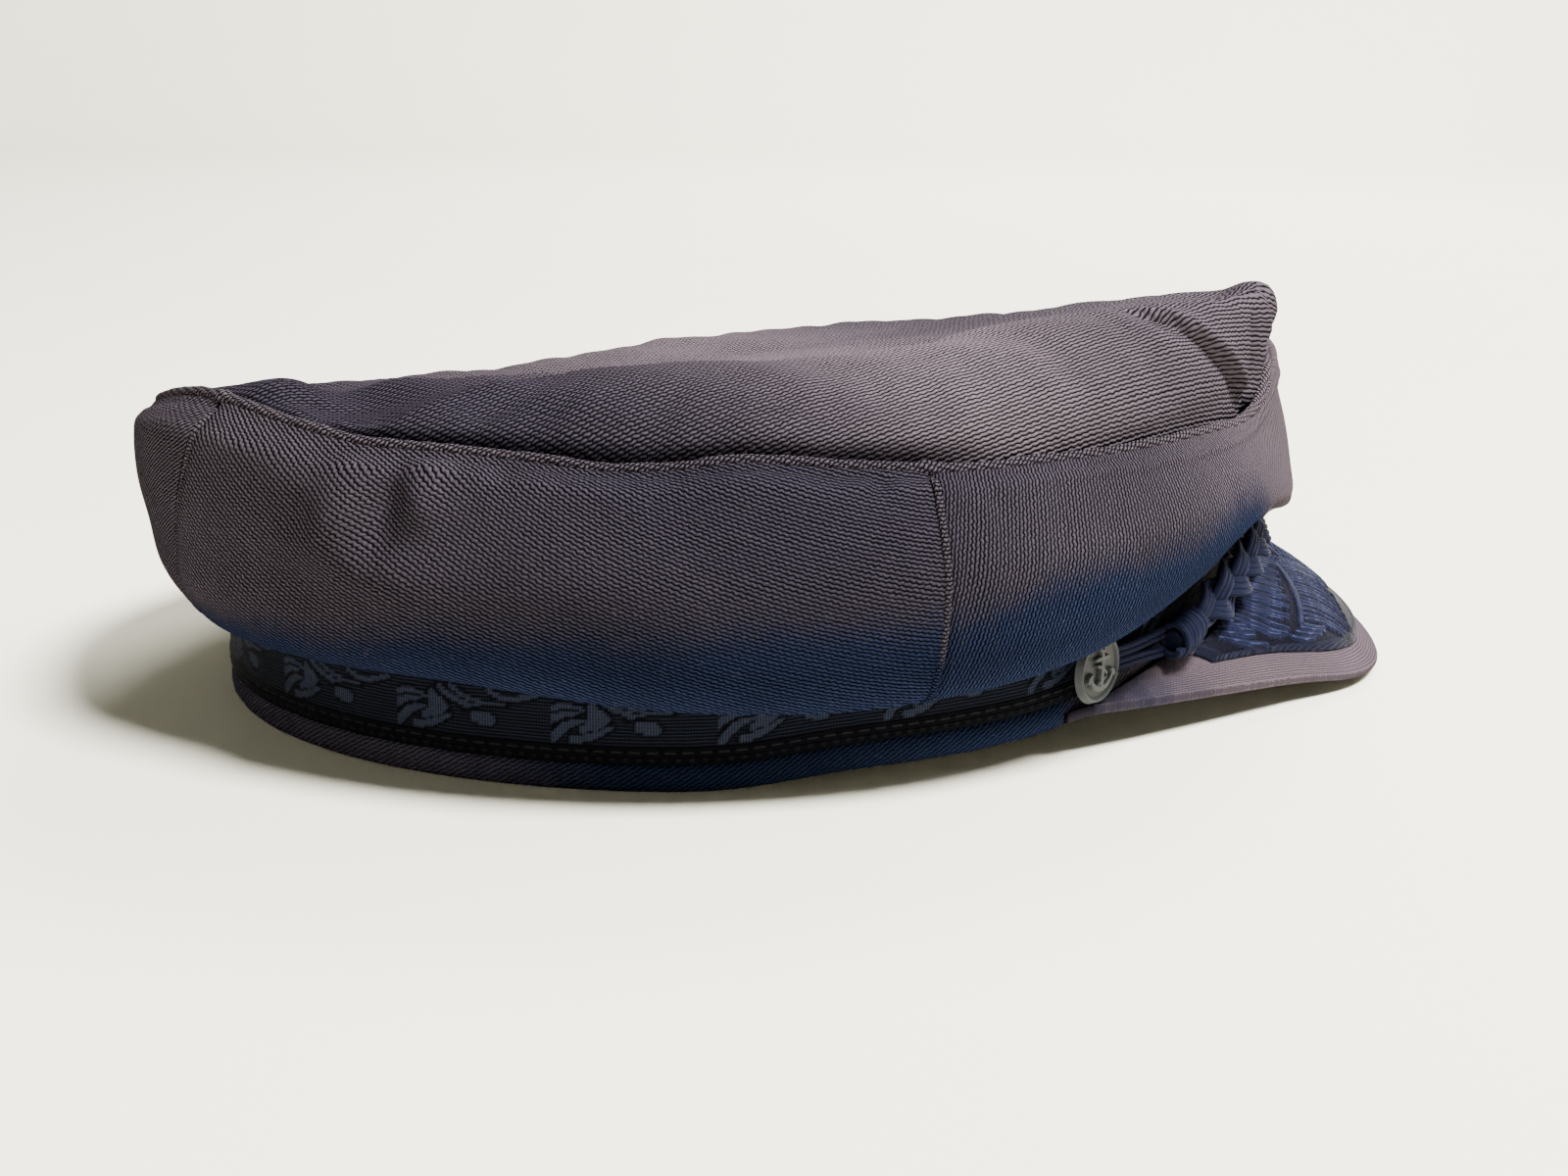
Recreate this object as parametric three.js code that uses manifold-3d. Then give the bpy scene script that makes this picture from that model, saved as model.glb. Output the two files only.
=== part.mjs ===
// Greek fisherman cap: a stiff headband under a woven ribbon, a soft four-quarter crown that hangs
// over it, a piped oval top, and an embroidered peak with a plaited cord between two anchor buttons.
// Millimetres, +X forward over the peak, +Y to the wearer's left, +Z up. The cap rests on the back of
// its hem and on the two corners of its peak, with the surface at Z = 0.
import * as THREE from 'three';
import { mergeVertices } from 'three/addons/utils/BufferGeometryUtils.js';
import Module from 'manifold-3d';

// Driving dimensions.
const headLength = 209;        // hem, front to back
const headWidth = 172;         // hem, side to side
const bandHeight = 34;
const bandWall = 2.4;
const hemHeight = 5;
const hemStep = 0.9;           // how far the hem stands proud of the band
const ribbonWall = 0.8;
const crownWall = 1.8;
const peakWall = 2;
const clothGap = 0.3;          // clearance between neighbouring pieces
const seamWidth = 1.7;
const seamHeight = 0.7;
const weltRadius = 1.3;
const weltSides = 5;           // flat side down
const weltFlat = weltRadius * Math.cos(Math.PI / weltSides);
const braidRadius = 4.4;
const buttonRadius = 6.9;
const buttonAngle = 61;        // degrees from the front, on each side
const buttonFacing = 47;       // the direction its face is turned to, in the same degrees

const quarterSteps = 20;       // facets along each quarter of the crown
const turn = Math.PI / 180;

// A table with named columns, as one object for each row.
function table(columns, rows) {
  return rows.map((row) => Object.fromEntries(columns.map((column, i) => [column, row[i]])));
}

// Height of the hem above the surface by angle from the front: the peak lifts the front of the band.
const hemRise = [
  { angle: 0, z: 20 },
  { angle: 20, z: 19 },
  { angle: 33, z: 16 },
  { angle: 44, z: 12 },
  { angle: 57, z: 7 },
  { angle: 69, z: 4.4 },
  { angle: 93, z: 2.8 },
  { angle: 106, z: 0.5 },
  { angle: 114, z: 0 },
  { angle: 180, z: 0 },
];

// The side of the crown by angle from the front, negative to the wearer's right. `Out` columns are
// distances outside the band, `Z` columns heights. The overhang is the lowest fold, the shoulder
// lies just under the welt, and the ridge is the puffed crest of the top panel, `ridgeIn` mm inside
// the welt.
const crownShape = table([
  'angle', 'overOut', 'overZ', 'wideOut', 'wideZ', 'shoulderOut', 'shoulderZ',
  'weltOut', 'weltZ', 'ridgeIn', 'ridgeZ',
], [
  [-180, 7, 21, 14.5, 37, 16, 54, 11.5, 59.5, 14, 58.5],
  [-164, 7.5, 20.5, 15.4, 38, 17.9, 57.8, 12.1, 64.8, 17, 67.2],
  [-151, 8.2, 20.8, 16.2, 39.4, 16.6, 58, 10.7, 64.7, 17, 65.6],
  [-135, 9.5, 21.5, 17, 41, 14.5, 57.5, 9, 63.3, 26, 70.6],
  [-110, 10.5, 18.5, 18, 39, 13.5, 56, 8, 61.8, 30, 72.6],
  [-88, 10.5, 18.5, 18, 40, 13, 56, 8, 61.8, 27, 73.2],
  [-66, 10.5, 22.8, 18, 43, 12.5, 55.5, 8, 61, 21, 76],
  [-50, 11, 32, 17, 46, 11.5, 55.5, 7.5, 61, 15, 79.8],
  [-37, 10.5, 40.3, 15, 46.5, 10.5, 57, 7.5, 62, 7, 80.3],
  [-24, 10, 37.5, 14, 43.5, 9.5, 60.5, 8.5, 67.5, 2.5, 79.5],
  [-10, 10, 37.5, 14, 43, 9, 62.5, 8, 70, 2.5, 78],
  [12, 10, 37.5, 14, 43, 9.5, 61, 8, 68.5, 7, 71.5],
  [30, 10.5, 37, 15, 44, 11, 57, 8, 62.5, 14, 65.5],
  [50, 11, 30, 16.5, 42, 12.5, 53.5, 8.5, 58.5, 20, 62],
  [70, 10.5, 22.5, 17.5, 38, 13.5, 50, 8.5, 55.5, 24, 59.5],
  [92, 10.5, 18.5, 17.5, 34, 14, 45.5, 8.5, 51, 26, 56.5],
  [118, 10, 18.5, 17, 32, 14, 42.5, 8.5, 48, 24, 52.5],
  [145, 8.5, 19.5, 15.5, 33, 14, 45, 9.5, 50.5, 18, 53],
]);

// How far the welt rises (+) or sags (-) from the line above as its seam tightens and slackens.
const weltSag = table(['angle', 'sag'], [
  [-180, 0], [-160, 1], [-151, -1], [-143, -2.4], [-135, -1.7], [-127, -2], [-119, -2.7], [-113, -2.1],
  [-106, -0.5], [-100, -1.3], [-91, -2.4], [-82, -3.3], [-70, -2.5], [-57, -2.2], [-43, -2.4],
  [-36, -3.6], [-31, -4.2], [-26, -1], [-18, 0], [90, 0],
]);
const sagShare = { weltZ: 1, shoulderZ: 0.6 };   // how much of it each line takes

// Soft dents (depth > 0) and swells (depth < 0) in the side, by angle and height.
const dents = [
  { angle: -150, z: 40, spread: 10, height: 12, depth: 1.6 },
  { angle: -136, z: 50, spread: 7, height: 8, depth: 1.8 },
  { angle: -122, z: 46, spread: 9, height: 11, depth: -1.2 },
  { angle: -70, z: 49, spread: 12, height: 9, depth: 1.3 },
  { angle: -28, z: 52, spread: 12, height: 8, depth: 1.5 },
  { angle: 40, z: 46, spread: 14, height: 9, depth: 1.8 },
  { angle: 104, z: 36, spread: 18, height: 9, depth: 2.2 },
  { angle: 160, z: 40, spread: 12, height: 9, depth: 1.6 },
];

// The seams between the four quarters of the side, in degrees from the front.
const seams = { front: 0, right: -86, back: -159.5, left: 86 };

// The cloth about the back seam is twisted: the seam leans by so many degrees from the welt to the
// overhang, and the twist dies out at `reach` degrees to each side. `leanShares` is the part of it
// at each point of the crown's line.
const backLean = { degrees: -11, reach: 45 };
const leanShares = [1, 1, 1, 1, 0.93, 0.8, 0.6, 0.3, 0.06, 0, 0];

// The rim of the peak from its middle (share 0) to its end (share 1): lower edge of the rim.
const peakRim = [
  { share: 0, x: 143.8, y: 0, z: 2.6 },
  { share: 0.16, x: 141.6, y: 20.5, z: 1.4 },
  { share: 0.32, x: 133.4, y: 41.2, z: 0.4 },
  { share: 0.46, x: 119.2, y: 57, z: 1.8 },
  { share: 0.62, x: 98.8, y: 65.2, z: 4.4 },
  { share: 0.78, x: 77.5, y: 73, z: 6.2 },
  { share: 0.9, x: 60, y: 78.8, z: 7.4 },
  { share: 1, x: 46, y: 82.6, z: 8.2 },
];
const peakEndAngle = 63;
const peakSteps = 36;
const peakDome = 4.4;          // how far the middle of the peak bulges above a straight slope

// How far the embroidered panel reaches down the peak, by share of the half width.
const embroideryReach = [
  { share: 0, start: 0.04, reach: 0.91 },
  { share: 0.11, start: 0.04, reach: 0.87 },
  { share: 0.18, start: 0.04, reach: 0.885 },
  { share: 0.36, start: 0.06, reach: 0.865 },
  { share: 0.43, start: 0.09, reach: 0.85 },
  { share: 0.53, start: 0.17, reach: 0.81 },
  { share: 0.62, start: 0.28, reach: 0.75 },
  { share: 0.7, start: 0.38, reach: 0.66 },
];
const embroideryWall = 1.1;
const embroideryLift = 0.5;      // from the peak's upper face to the back of the embroidery

// The plaited cord: height of its middle, and how far out it hangs, by angle from the front.
const braidRise = [
  { angle: 0, z: 31.5, out: 7.6 },
  { angle: 14, z: 31.2, out: 7.8 },
  { angle: 24, z: 30, out: 7.8 },
  { angle: 30, z: 27.6, out: 7.4 },
  { angle: 37, z: 23.6, out: 6.6 },
  { angle: 42, z: 21, out: 6.1 },
];
const knotAngle = 45;

const paint = {
  twill: { color: 0x7d7488, roughness: 0.9 },
  hem: { color: 0x3c4561, roughness: 0.9 },
  ribbon: { color: 0x1d2338, roughness: 0.75 },
  seam: { color: 0x8a8192, roughness: 0.9 },
  embroidery: { color: 0x3a3f66, roughness: 0.55 },
  braid: { color: 0x3d4468, roughness: 0.6 },
  pewter: { color: 0x7d8478, roughness: 0.45, metalness: 0.8 },
};

const cap = new THREE.Group();

const wasm = await Module();
wasm.setup();

// Cubic through the rows of a table, looked up by its `key` column. A wrapped table closes on itself.
function readTable(rows, key, value, column, wrap = 0) {
  const n = rows.length;
  const rowAt = (i) => {
    const k = wrap ? ((i % n) + n) % n : Math.min(Math.max(i, 0), n - 1);
    const lap = wrap ? Math.floor(i / n) * wrap : 0;
    return { at: rows[k][key] + lap, v: rows[k][column] };
  };
  let x = value;
  if (wrap) {
    while (x < rows[0][key]) x += wrap;
    while (x >= rows[0][key] + wrap) x -= wrap;
  }
  let i = 0;
  while (i < (wrap ? n - 1 : n - 2) && rowAt(i + 1).at <= x) i += 1;
  const [p, a, b, q] = [rowAt(i - 1), rowAt(i), rowAt(i + 1), rowAt(i + 2)];
  const span = b.at - a.at;
  const u = THREE.MathUtils.clamp((x - a.at) / span, 0, 1);
  const slope = (m, o) => (o.at > m.at ? (o.v - m.v) / (o.at - m.at) : 0);
  const ma = slope(p, b) * span;
  const mb = slope(a, q) * span;
  const u2 = u * u;
  const u3 = u2 * u;
  return a.v * (2 * u3 - 3 * u2 + 1) + ma * (u3 - 2 * u2 + u) + b.v * (3 * u2 - 2 * u3) + mb * (u3 - u2);
}

// A point `out` mm outside the oval of the head, in the direction `angle` degrees from the front.
function plan(angle, out, z = 0) {
  const [a, b] = [headLength / 2, headWidth / 2];
  const t = Math.atan2(a * Math.sin(angle * turn), b * Math.cos(angle * turn));
  const normal = new THREE.Vector2(Math.cos(t) / a, Math.sin(t) / b).normalize();
  return new THREE.Vector3(a * Math.cos(t) + normal.x * out, b * Math.sin(t) + normal.y * out, z);
}

const hemZ = (angle) => Math.max(readTable(hemRise, 'angle', Math.abs(angle), 'z'), 0);
const crownAt = (angle, column) => readTable(crownShape, 'angle', angle, column, 360)
  + (sagShare[column] ?? 0) * readTable(weltSag, 'angle', angle, 'sag', 360);

// A closed body through rings of points. `loop` joins the last ring to the first. Otherwise each end
// is a single point, where that ring has one, or a flat cap.
function skin(rings, loop = false) {
  const width = Math.max(...rings.map((ring) => ring.length));
  const vertices = [];
  const starts = rings.map((ring) => {
    const start = vertices.length;
    vertices.push(...ring);
    return { start, size: ring.length };
  });
  const index = [];
  const at = (ring, k) => ring.start + (ring.size === 1 ? 0 : k % width);
  const bands = loop ? rings.length : rings.length - 1;
  for (let r = 0; r < bands; r += 1) {
    const low = starts[r];
    const high = starts[(r + 1) % rings.length];
    for (let k = 0; k < width; k += 1) {
      if (low.size > 1) index.push(at(low, k), at(low, k + 1), at(high, k));
      if (high.size > 1) index.push(at(low, k + 1), at(high, k + 1), at(high, k));
    }
  }
  if (!loop) {
    for (const [end, flip] of [[0, true], [rings.length - 1, false]]) {
      const ring = rings[end];
      if (ring.length === 1) continue;
      const origin = ring[0];
      const across = new THREE.Vector3().subVectors(ring[Math.floor(width / 4)], origin).normalize();
      const other = new THREE.Vector3().subVectors(ring[Math.floor(width / 2)], origin);
      const normal = new THREE.Vector3().crossVectors(across, other).normalize();
      const up = new THREE.Vector3().crossVectors(normal, across);
      const flat = ring.map((p) => {
        const d = new THREE.Vector3().subVectors(p, origin);
        return new THREE.Vector2(d.dot(across), d.dot(up));
      });
      const turned = THREE.ShapeUtils.isClockWise(flat);
      for (const face of THREE.ShapeUtils.triangulateShape(flat, [])) {
        const [i, j, k] = face.map((v) => starts[end].start + v);
        const order = turned ? [i, k, j] : [i, j, k];
        if (flip) index.push(order[0], order[2], order[1]);
        else index.push(...order);
      }
    }
  }
  const geometry = new THREE.BufferGeometry();
  const flatList = vertices.flatMap((p) => [p.x, p.y, p.z]);
  geometry.setAttribute('position', new THREE.Float32BufferAttribute(flatList, 3));
  geometry.setIndex(index);
  return outward(geometry);
}

function signedVolume(geometry) {
  const p = geometry.getAttribute('position');
  const index = geometry.getIndex().array;
  const [a, b, c] = [new THREE.Vector3(), new THREE.Vector3(), new THREE.Vector3()];
  let total = 0;
  for (let i = 0; i < index.length; i += 3) {
    a.fromBufferAttribute(p, index[i]);
    b.fromBufferAttribute(p, index[i + 1]);
    c.fromBufferAttribute(p, index[i + 2]);
    total += a.dot(b.cross(c)) / 6;
  }
  return total;
}

function outward(geometry) {
  if (signedVolume(geometry) < 0) {
    const index = Array.from(geometry.getIndex().array);
    for (let i = 0; i < index.length; i += 3) [index[i], index[i + 1]] = [index[i + 1], index[i]];
    geometry.setIndex(index);
  }
  return geometry;
}

// Boolean sum and difference of closed geometries.
function toSolid(geometry) {
  const bare = geometry.clone();
  bare.deleteAttribute('normal');
  bare.deleteAttribute('uv');
  const merged = mergeVertices(bare, 1e-4);
  return new wasm.Manifold(new wasm.Mesh({
    numProp: 3,
    vertProperties: new Float32Array(merged.getAttribute('position').array),
    triVerts: new Uint32Array(merged.getIndex().array),
  }));
}

function fromSolid(solid) {
  const mesh = solid.getMesh();
  const geometry = new THREE.BufferGeometry();
  geometry.setAttribute('position', new THREE.Float32BufferAttribute(Array.from(mesh.vertProperties), 3));
  geometry.setIndex(Array.from(mesh.triVerts));
  return geometry;
}

const join = (geometries) => fromSolid(geometries.map(toSolid).reduce((a, b) => a.add(b)));

function addPiece(name, geometry, finish) {
  const mesh = new THREE.Mesh(geometry, new THREE.MeshStandardMaterial({ metalness: 0, ...finish }));
  mesh.name = name;
  cap.add(mesh);
  return mesh;
}

// Angles round the cap that every ring shares, so that neighbouring walls stay parallel. Each
// quarter is divided evenly between its seams.
function anglesBetween(from, to, steps) {
  return Array.from({ length: steps + 1 }, (_, i) => from + ((to - from) * i) / steps);
}

const quarters = [
  { name: 'crown_side_front_right', from: seams.right, to: seams.front },
  { name: 'crown_side_front_left', from: seams.front, to: seams.left },
  { name: 'crown_side_back_left', from: seams.left, to: seams.back + 360 },
  { name: 'crown_side_back_right', from: seams.back, to: seams.right },
];
const ringAngles = [quarters[3], quarters[0], quarters[1], quarters[2]]
  .flatMap((quarter) => anglesBetween(quarter.from, quarter.to, quarterSteps).slice(0, -1));

// A ring all the way round: `section(angle)` lists [out, z] pairs.
function ringBody(section) {
  return skin(ringAngles.map((angle) => section(angle).map(([out, z]) => plan(angle, out, z))), true);
}

function buildBand() {
  addPiece('headband', ringBody((angle) => {
    const z = hemZ(angle);
    return [[-bandWall, z], [hemStep, z], [hemStep, z + hemHeight], [0, z + hemHeight],
      [0, z + bandHeight], [-bandWall, z + bandHeight]];
  }), paint.hem);
  addPiece('ribbon', ringBody((angle) => {
    const low = hemZ(angle) + hemHeight + clothGap;
    const high = hemZ(angle) + bandHeight - 2;
    const inner = clothGap;
    return [[inner, low], [inner + ribbonWall, low], [inner + ribbonWall, high], [inner, high]];
  }), paint.ribbon);
}

// How far the cloth is pushed in at an angle and height: the sum of the dents' bell curves.
function dentDepth(angle, z) {
  return dents.reduce((sum, dent) => {
    const away = ((((angle - dent.angle) % 360) + 540) % 360) - 180;
    const reach = (away / dent.spread) ** 2 + ((z - dent.z) / dent.height) ** 2;
    return sum + dent.depth * Math.exp(-reach);
  }, 0);
}

function leanOf(angle) {
  const away = Math.abs(((((angle - seams.back) % 360) + 540) % 360) - 180);
  return backLean.degrees * THREE.MathUtils.smoothstep(1 - away / backLean.reach, 0, 1);
}

// Middle line of the crown's cloth from the top of the band, out and down to the overhang, and up
// to the shoulder and the welt.
function crownLine(angle) {
  const top = hemZ(angle) + bandHeight + clothGap + crownWall / 2;
  const c = (column) => crownAt(angle, column);
  const [overOut, overZ] = [c('overOut'), c('overZ')];
  const underWelt = c('weltZ') - weltFlat - clothGap - crownWall / 2;
  const dented = ([out, z]) => [out - dentDepth(angle, z), z];
  return [
    [-bandWall + 0.4, top],
    [1.6, top],
    [overOut - 1.7, overZ + 1.9],
    [overOut + 0.6, overZ + crownWall / 2],
    [overOut + 2.9, overZ + 3],
    dented([(overOut + c('wideOut')) / 2 + 2.2, (overZ + c('wideZ')) / 2]),
    dented([c('wideOut'), c('wideZ')]),
    dented([(c('wideOut') + c('shoulderOut')) / 2 + 0.8, (c('wideZ') + c('shoulderZ')) / 2]),
    dented([c('shoulderOut'), c('shoulderZ')]),
    [(c('shoulderOut') + c('weltOut')) / 2 + 1.2, (c('shoulderZ') + underWelt) / 2 + 0.8],
    [c('weltOut') + 0.4, underWelt],
  ];
}

// The same line where the cloth is twisted: its points and the angle of each.
function twistedLine(angle) {
  const angles = leanShares.map((share) => angle + share * leanOf(angle));
  return { angles, line: angles.map((at, k) => crownLine(at)[k]) };
}

// Cloth of even thickness about a middle line: the line is offset half a wall to each side.
function thicken(line, wall) {
  const normals = line.map((_, i) => {
    const before = line[Math.max(i - 1, 0)];
    const after = line[Math.min(i + 1, line.length - 1)];
    const d = new THREE.Vector2(after[0] - before[0], after[1] - before[1]).normalize();
    return [-d.y, d.x];
  });
  const side = (sign) => line.map((p, i) => [
    p[0] + sign * normals[i][0] * wall / 2,
    p[1] + sign * normals[i][1] * wall / 2,
  ]);
  return [...side(1), ...side(-1).reverse()];
}

function buildCrownSides() {
  for (const quarter of quarters) {
    const inset = 0.14;                       // degrees left open at each end, under the seam ridge
    const angles = anglesBetween(quarter.from + inset, quarter.to - inset, quarterSteps);
    const rings = angles.map((angle) => {
      const twisted = twistedLine(angle);
      const round = [...twisted.angles, ...twisted.angles.slice().reverse()];
      return thicken(twisted.line, crownWall).map(([out, z], k) => plan(round[k], out, z));
    });
    addPiece(quarter.name, skin(rings), paint.twill);
  }
}

// Where the welt runs: a point just above the last point of the side's cloth.
function weltCentre(angle) {
  return [crownAt(angle, 'weltOut'), crownAt(angle, 'weltZ')];
}

function buildWelt() {
  addPiece('top_welt', ringBody((angle) => {
    const [out, z] = weltCentre(angle);
    return Array.from({ length: weltSides }, (_, k) => {
      const a = ((k + 0.5) / weltSides) * 2 * Math.PI - Math.PI / 2;
      return [out + weltRadius * Math.cos(a), z + weltRadius * Math.sin(a)];
    });
  }), paint.seam);
}

// The top panel: tucked in behind the welt, puffed up to a ridge, and sagging to the middle.
const topCentre = { x: 4, y: -4, z: 62.5 };
const topLow = 1.2;            // how far below the welt the panel tucks in

function topPoint(angle, share, drop) {
  const [weltOut, weltZ] = weltCentre(angle);
  const edge = plan(angle, weltOut - weltRadius - clothGap, weltZ - topLow);
  const centre = new THREE.Vector3(topCentre.x, topCentre.y, topCentre.z);
  const p = centre.clone().lerp(edge, share);
  const reach = Math.hypot(edge.x - centre.x, edge.y - centre.y);
  const ridge = 1 - crownAt(angle, 'ridgeIn') / reach;
  const ridgeZ = crownAt(angle, 'ridgeZ');
  if (share >= ridge) {
    const u = (share - ridge) / (1 - ridge);
    p.z = ridgeZ - (ridgeZ - edge.z) * (1 - Math.sqrt(Math.max(1 - u ** 2.3, 0)));
  } else {
    const u = share / ridge;
    p.z = centre.z + (ridgeZ - centre.z) * u * u * (3 - 2 * u);
  }
  p.z -= drop;
  return p;
}

function buildTop() {
  const shares = [0.28, 0.5, 0.68, 0.82, 0.92, 0.975, 1];
  const ring = (share, shrink, drop) => ringAngles.map((angle) => {
    const p = topPoint(angle, share, drop);
    p.x -= topCentre.x;
    p.y -= topCentre.y;
    const r = Math.hypot(p.x, p.y);
    const k = (r - shrink) / r;
    return new THREE.Vector3(p.x * k + topCentre.x, p.y * k + topCentre.y, p.z);
  });
  const wall = 1.6;
  const pole = (drop) => [new THREE.Vector3(topCentre.x, topCentre.y, topCentre.z - drop)];
  const under = shares.filter((_, i) => i % 2 === 0);
  addPiece('crown_top', skin([
    pole(0),
    ...shares.map((share) => ring(share, 0, 0)),
    ...under.slice().reverse().map((share) => ring(share, wall, wall * (share < 0.9 ? 1 : 0.6))),
    pole(wall),
  ]), paint.twill);
}

// Raised lapped ridges over the joins between the quarters.
function buildSeams() {
  for (const [name, angle] of Object.entries(seams)) {
    const { angles, line } = twistedLine(angle);
    const faceAt = (lift) => thicken(line, crownWall + 2 * lift).slice(line.length).reverse().slice(4, -1);
    const turns = angles.slice(4, -1);
    const outer = faceAt(clothGap + 0.05);
    const upper = faceAt(clothGap + 0.05 + seamHeight);
    const rings = outer.map((_, i) => {
      const low = plan(turns[i], ...outer[i]);
      const high = plan(turns[i], ...upper[i]);
      const along = plan(turns[i] + 0.5, ...outer[i]).sub(plan(turns[i] - 0.5, ...outer[i])).normalize();
      const at = (p, side) => p.clone().addScaledVector(along, side * seamWidth / 2);
      return [at(low, -1), at(low, 1), at(high, 0.7), at(high, -0.7)];
    });
    addPiece(`${name}_seam`, skin(rings), paint.seam);
  }
}

// The peak from its right end to its left: `across` runs from -1 to 1, `down` from the band, 0, to
// the rim, 1. `lift` is the height above the peak's upper face.
function peakPoint(across, down, lift = 0) {
  const share = Math.abs(across);
  const side = Math.sign(across) || 1;
  const angle = share * peakEndAngle;
  const inner = plan(angle, hemStep + clothGap, hemZ(angle) + 0.6 + peakWall);
  const rim = (column) => readTable(peakRim, 'share', share, column);
  const p = inner.lerp(new THREE.Vector3(rim('x'), rim('y'), rim('z') + peakWall), down);
  p.z += peakDome * Math.sin(Math.PI * Math.min(down * 1.05, 1)) * (1 - share ** 3) + lift;
  p.y *= side;
  return p;
}

function peakSlab(acrossList, reach, low, high, downSteps) {
  const rings = acrossList.map((across) => {
    const end = reach(Math.abs(across));
    const step = (end.to - end.from) / downSteps;
    const downs = Array.from({ length: downSteps + 1 }, (_, i) => end.from + step * i);
    const upper = downs.map((down) => peakPoint(across, down, high));
    const lower = downs.map((down) => peakPoint(across, down, low));
    return [...upper, ...lower.reverse()];
  });
  return skin(rings);
}

function buildPeak() {
  const acrossList = Array.from({ length: peakSteps + 1 }, (_, i) => -1 + (2 * i) / peakSteps);
  addPiece('peak', peakSlab(acrossList, () => ({ from: 0, to: 1 }), -peakWall, 0, 6), paint.twill);
  const last = embroideryReach[embroideryReach.length - 1].share;
  const panelList = acrossList.filter((across) => Math.abs(across) < last);
  addPiece('peak_embroidery', peakSlab([-last, ...panelList, last], (share) => ({
    from: readTable(embroideryReach, 'share', share, 'start'),
    to: readTable(embroideryReach, 'share', share, 'reach'),
  }), embroideryLift, embroideryLift + embroideryWall, 5), paint.embroidery);
}

// A body round a path: `section(i)` gives the [across, up] outline at each path point.
function sweep(path, section) {
  const rings = path.map((p, i) => {
    const ahead = path[Math.min(i + 1, path.length - 1)];
    const behind = path[Math.max(i - 1, 0)];
    const forward = new THREE.Vector3().subVectors(ahead, behind).normalize();
    const across = new THREE.Vector3(0, 0, 1).cross(forward).normalize();
    const up = new THREE.Vector3().crossVectors(forward, across);
    return section(i).map(([s, u]) => p.clone().addScaledVector(across, s).addScaledVector(up, u));
  });
  return skin(rings);
}

function circle(radius, sides) {
  return Array.from({ length: sides }, (_, k) => {
    const a = ((k + 0.5) / sides) * 2 * Math.PI;
    return [radius * Math.cos(a), radius * Math.sin(a)];
  });
}

function braidPoint(angle) {
  const read = (column) => readTable(braidRise, 'angle', Math.abs(angle), column);
  return plan(angle, read('out'), read('z'));
}

function buildBraid() {
  const steps = 36;
  const ends = knotAngle - 3.2;
  const path = Array.from({ length: steps + 1 }, (_, i) => braidPoint(-ends + (2 * ends * i) / steps));
  addPiece('front_braid', sweep(path, (i) => {
    const swell = 1 + 0.07 * Math.cos((i / steps) * Math.PI * 22);
    return circle(braidRadius * swell * (i === 0 || i === steps ? 0.8 : 1), 8);
  }), paint.braid);
}

function buildKnots() {
  const profile = [
    { along: 0, radius: 2.6 }, { along: 0.18, radius: 4 }, { along: 0.5, radius: 4.4 },
    { along: 0.82, radius: 4 }, { along: 1, radius: 2.6 },
  ];
  for (const [name, side] of [['knot_right', -1], ['knot_left', 1]]) {
    const [from, to] = [knotAngle - 2.9, knotAngle + 2.2];
    const path = profile.map(({ along }) => (
      plan(side * (from + (to - from) * along), 5.8, 20.2 - 1.6 * along)));
    addPiece(name, sweep(path, (i) => circle(profile[i].radius, 10)), paint.braid);
  }
}

function buildStraps() {
  const [from, to] = [knotAngle + 2.5, buttonAngle - 1.5];
  for (const [name, side] of [['cord_strap_right', -1], ['cord_strap_left', 1]]) {
    const path = Array.from({ length: 9 }, (_, i) => {
      const u = i / 8;
      return plan(side * (from + (to - from) * u), 3.4 - 1.0 * u, 17.6 - 0.6 * u);
    });
    const section = [[-0.8, -2.1], [0.8, -2.1], [0.8, 2.1], [-0.8, 2.1]];
    addPiece(name, sweep(path, () => section), paint.braid);
  }
}

// A shanked button with a raised rim and an anchor in relief, made facing +Z and then turned.
function buttonGeometry() {
  const profile = [
    [0, -1.9], [1.5, -1.9], [1.5, 0.9], [buttonRadius - 1.2, 1], [buttonRadius, 1.5],
    [buttonRadius, 2], [buttonRadius - 0.7, 2.5], [buttonRadius - 1.4, 2.1], [buttonRadius * 0.5, 2.5], [0, 2.7],
  ];
  const body = new THREE.LatheGeometry(profile.map(([r, z]) => new THREE.Vector2(r, z)), 20);
  body.rotateX(Math.PI / 2);
  const relief = 0.8;
  const floorZ = 2.1;
  const bar = (w, h, x, y) => new THREE.BoxGeometry(w, h, relief + 0.4).translate(x, y, floorZ + relief / 2);
  const ring = new THREE.TorusGeometry(0.85, 0.35, 5, 8).translate(0, 3.8, floorZ + 0.75);
  const fluke = new THREE.Shape();
  fluke.absarc(0, 0.4, 4.1, Math.PI * 1.12, Math.PI * 1.88, false);
  fluke.absarc(0, 0.9, 3.3, Math.PI * 1.86, Math.PI * 1.14, true);
  const armsDepth = { depth: relief + 0.4, bevelEnabled: false, curveSegments: 5 };
  const arms = new THREE.ExtrudeGeometry(fluke, armsDepth);
  arms.translate(0, 0, floorZ - 0.2);
  return join([outward(bareIndexed(body)), bar(1.1, 6.2, 0, -0.2), bar(3.4, 0.9, 0, 2), ring, arms]
    .map(bareIndexed));
}

function bareIndexed(geometry) {
  const bare = geometry.clone();
  bare.deleteAttribute('normal');
  bare.deleteAttribute('uv');
  return outward(mergeVertices(bare, 1e-4));
}

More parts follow.
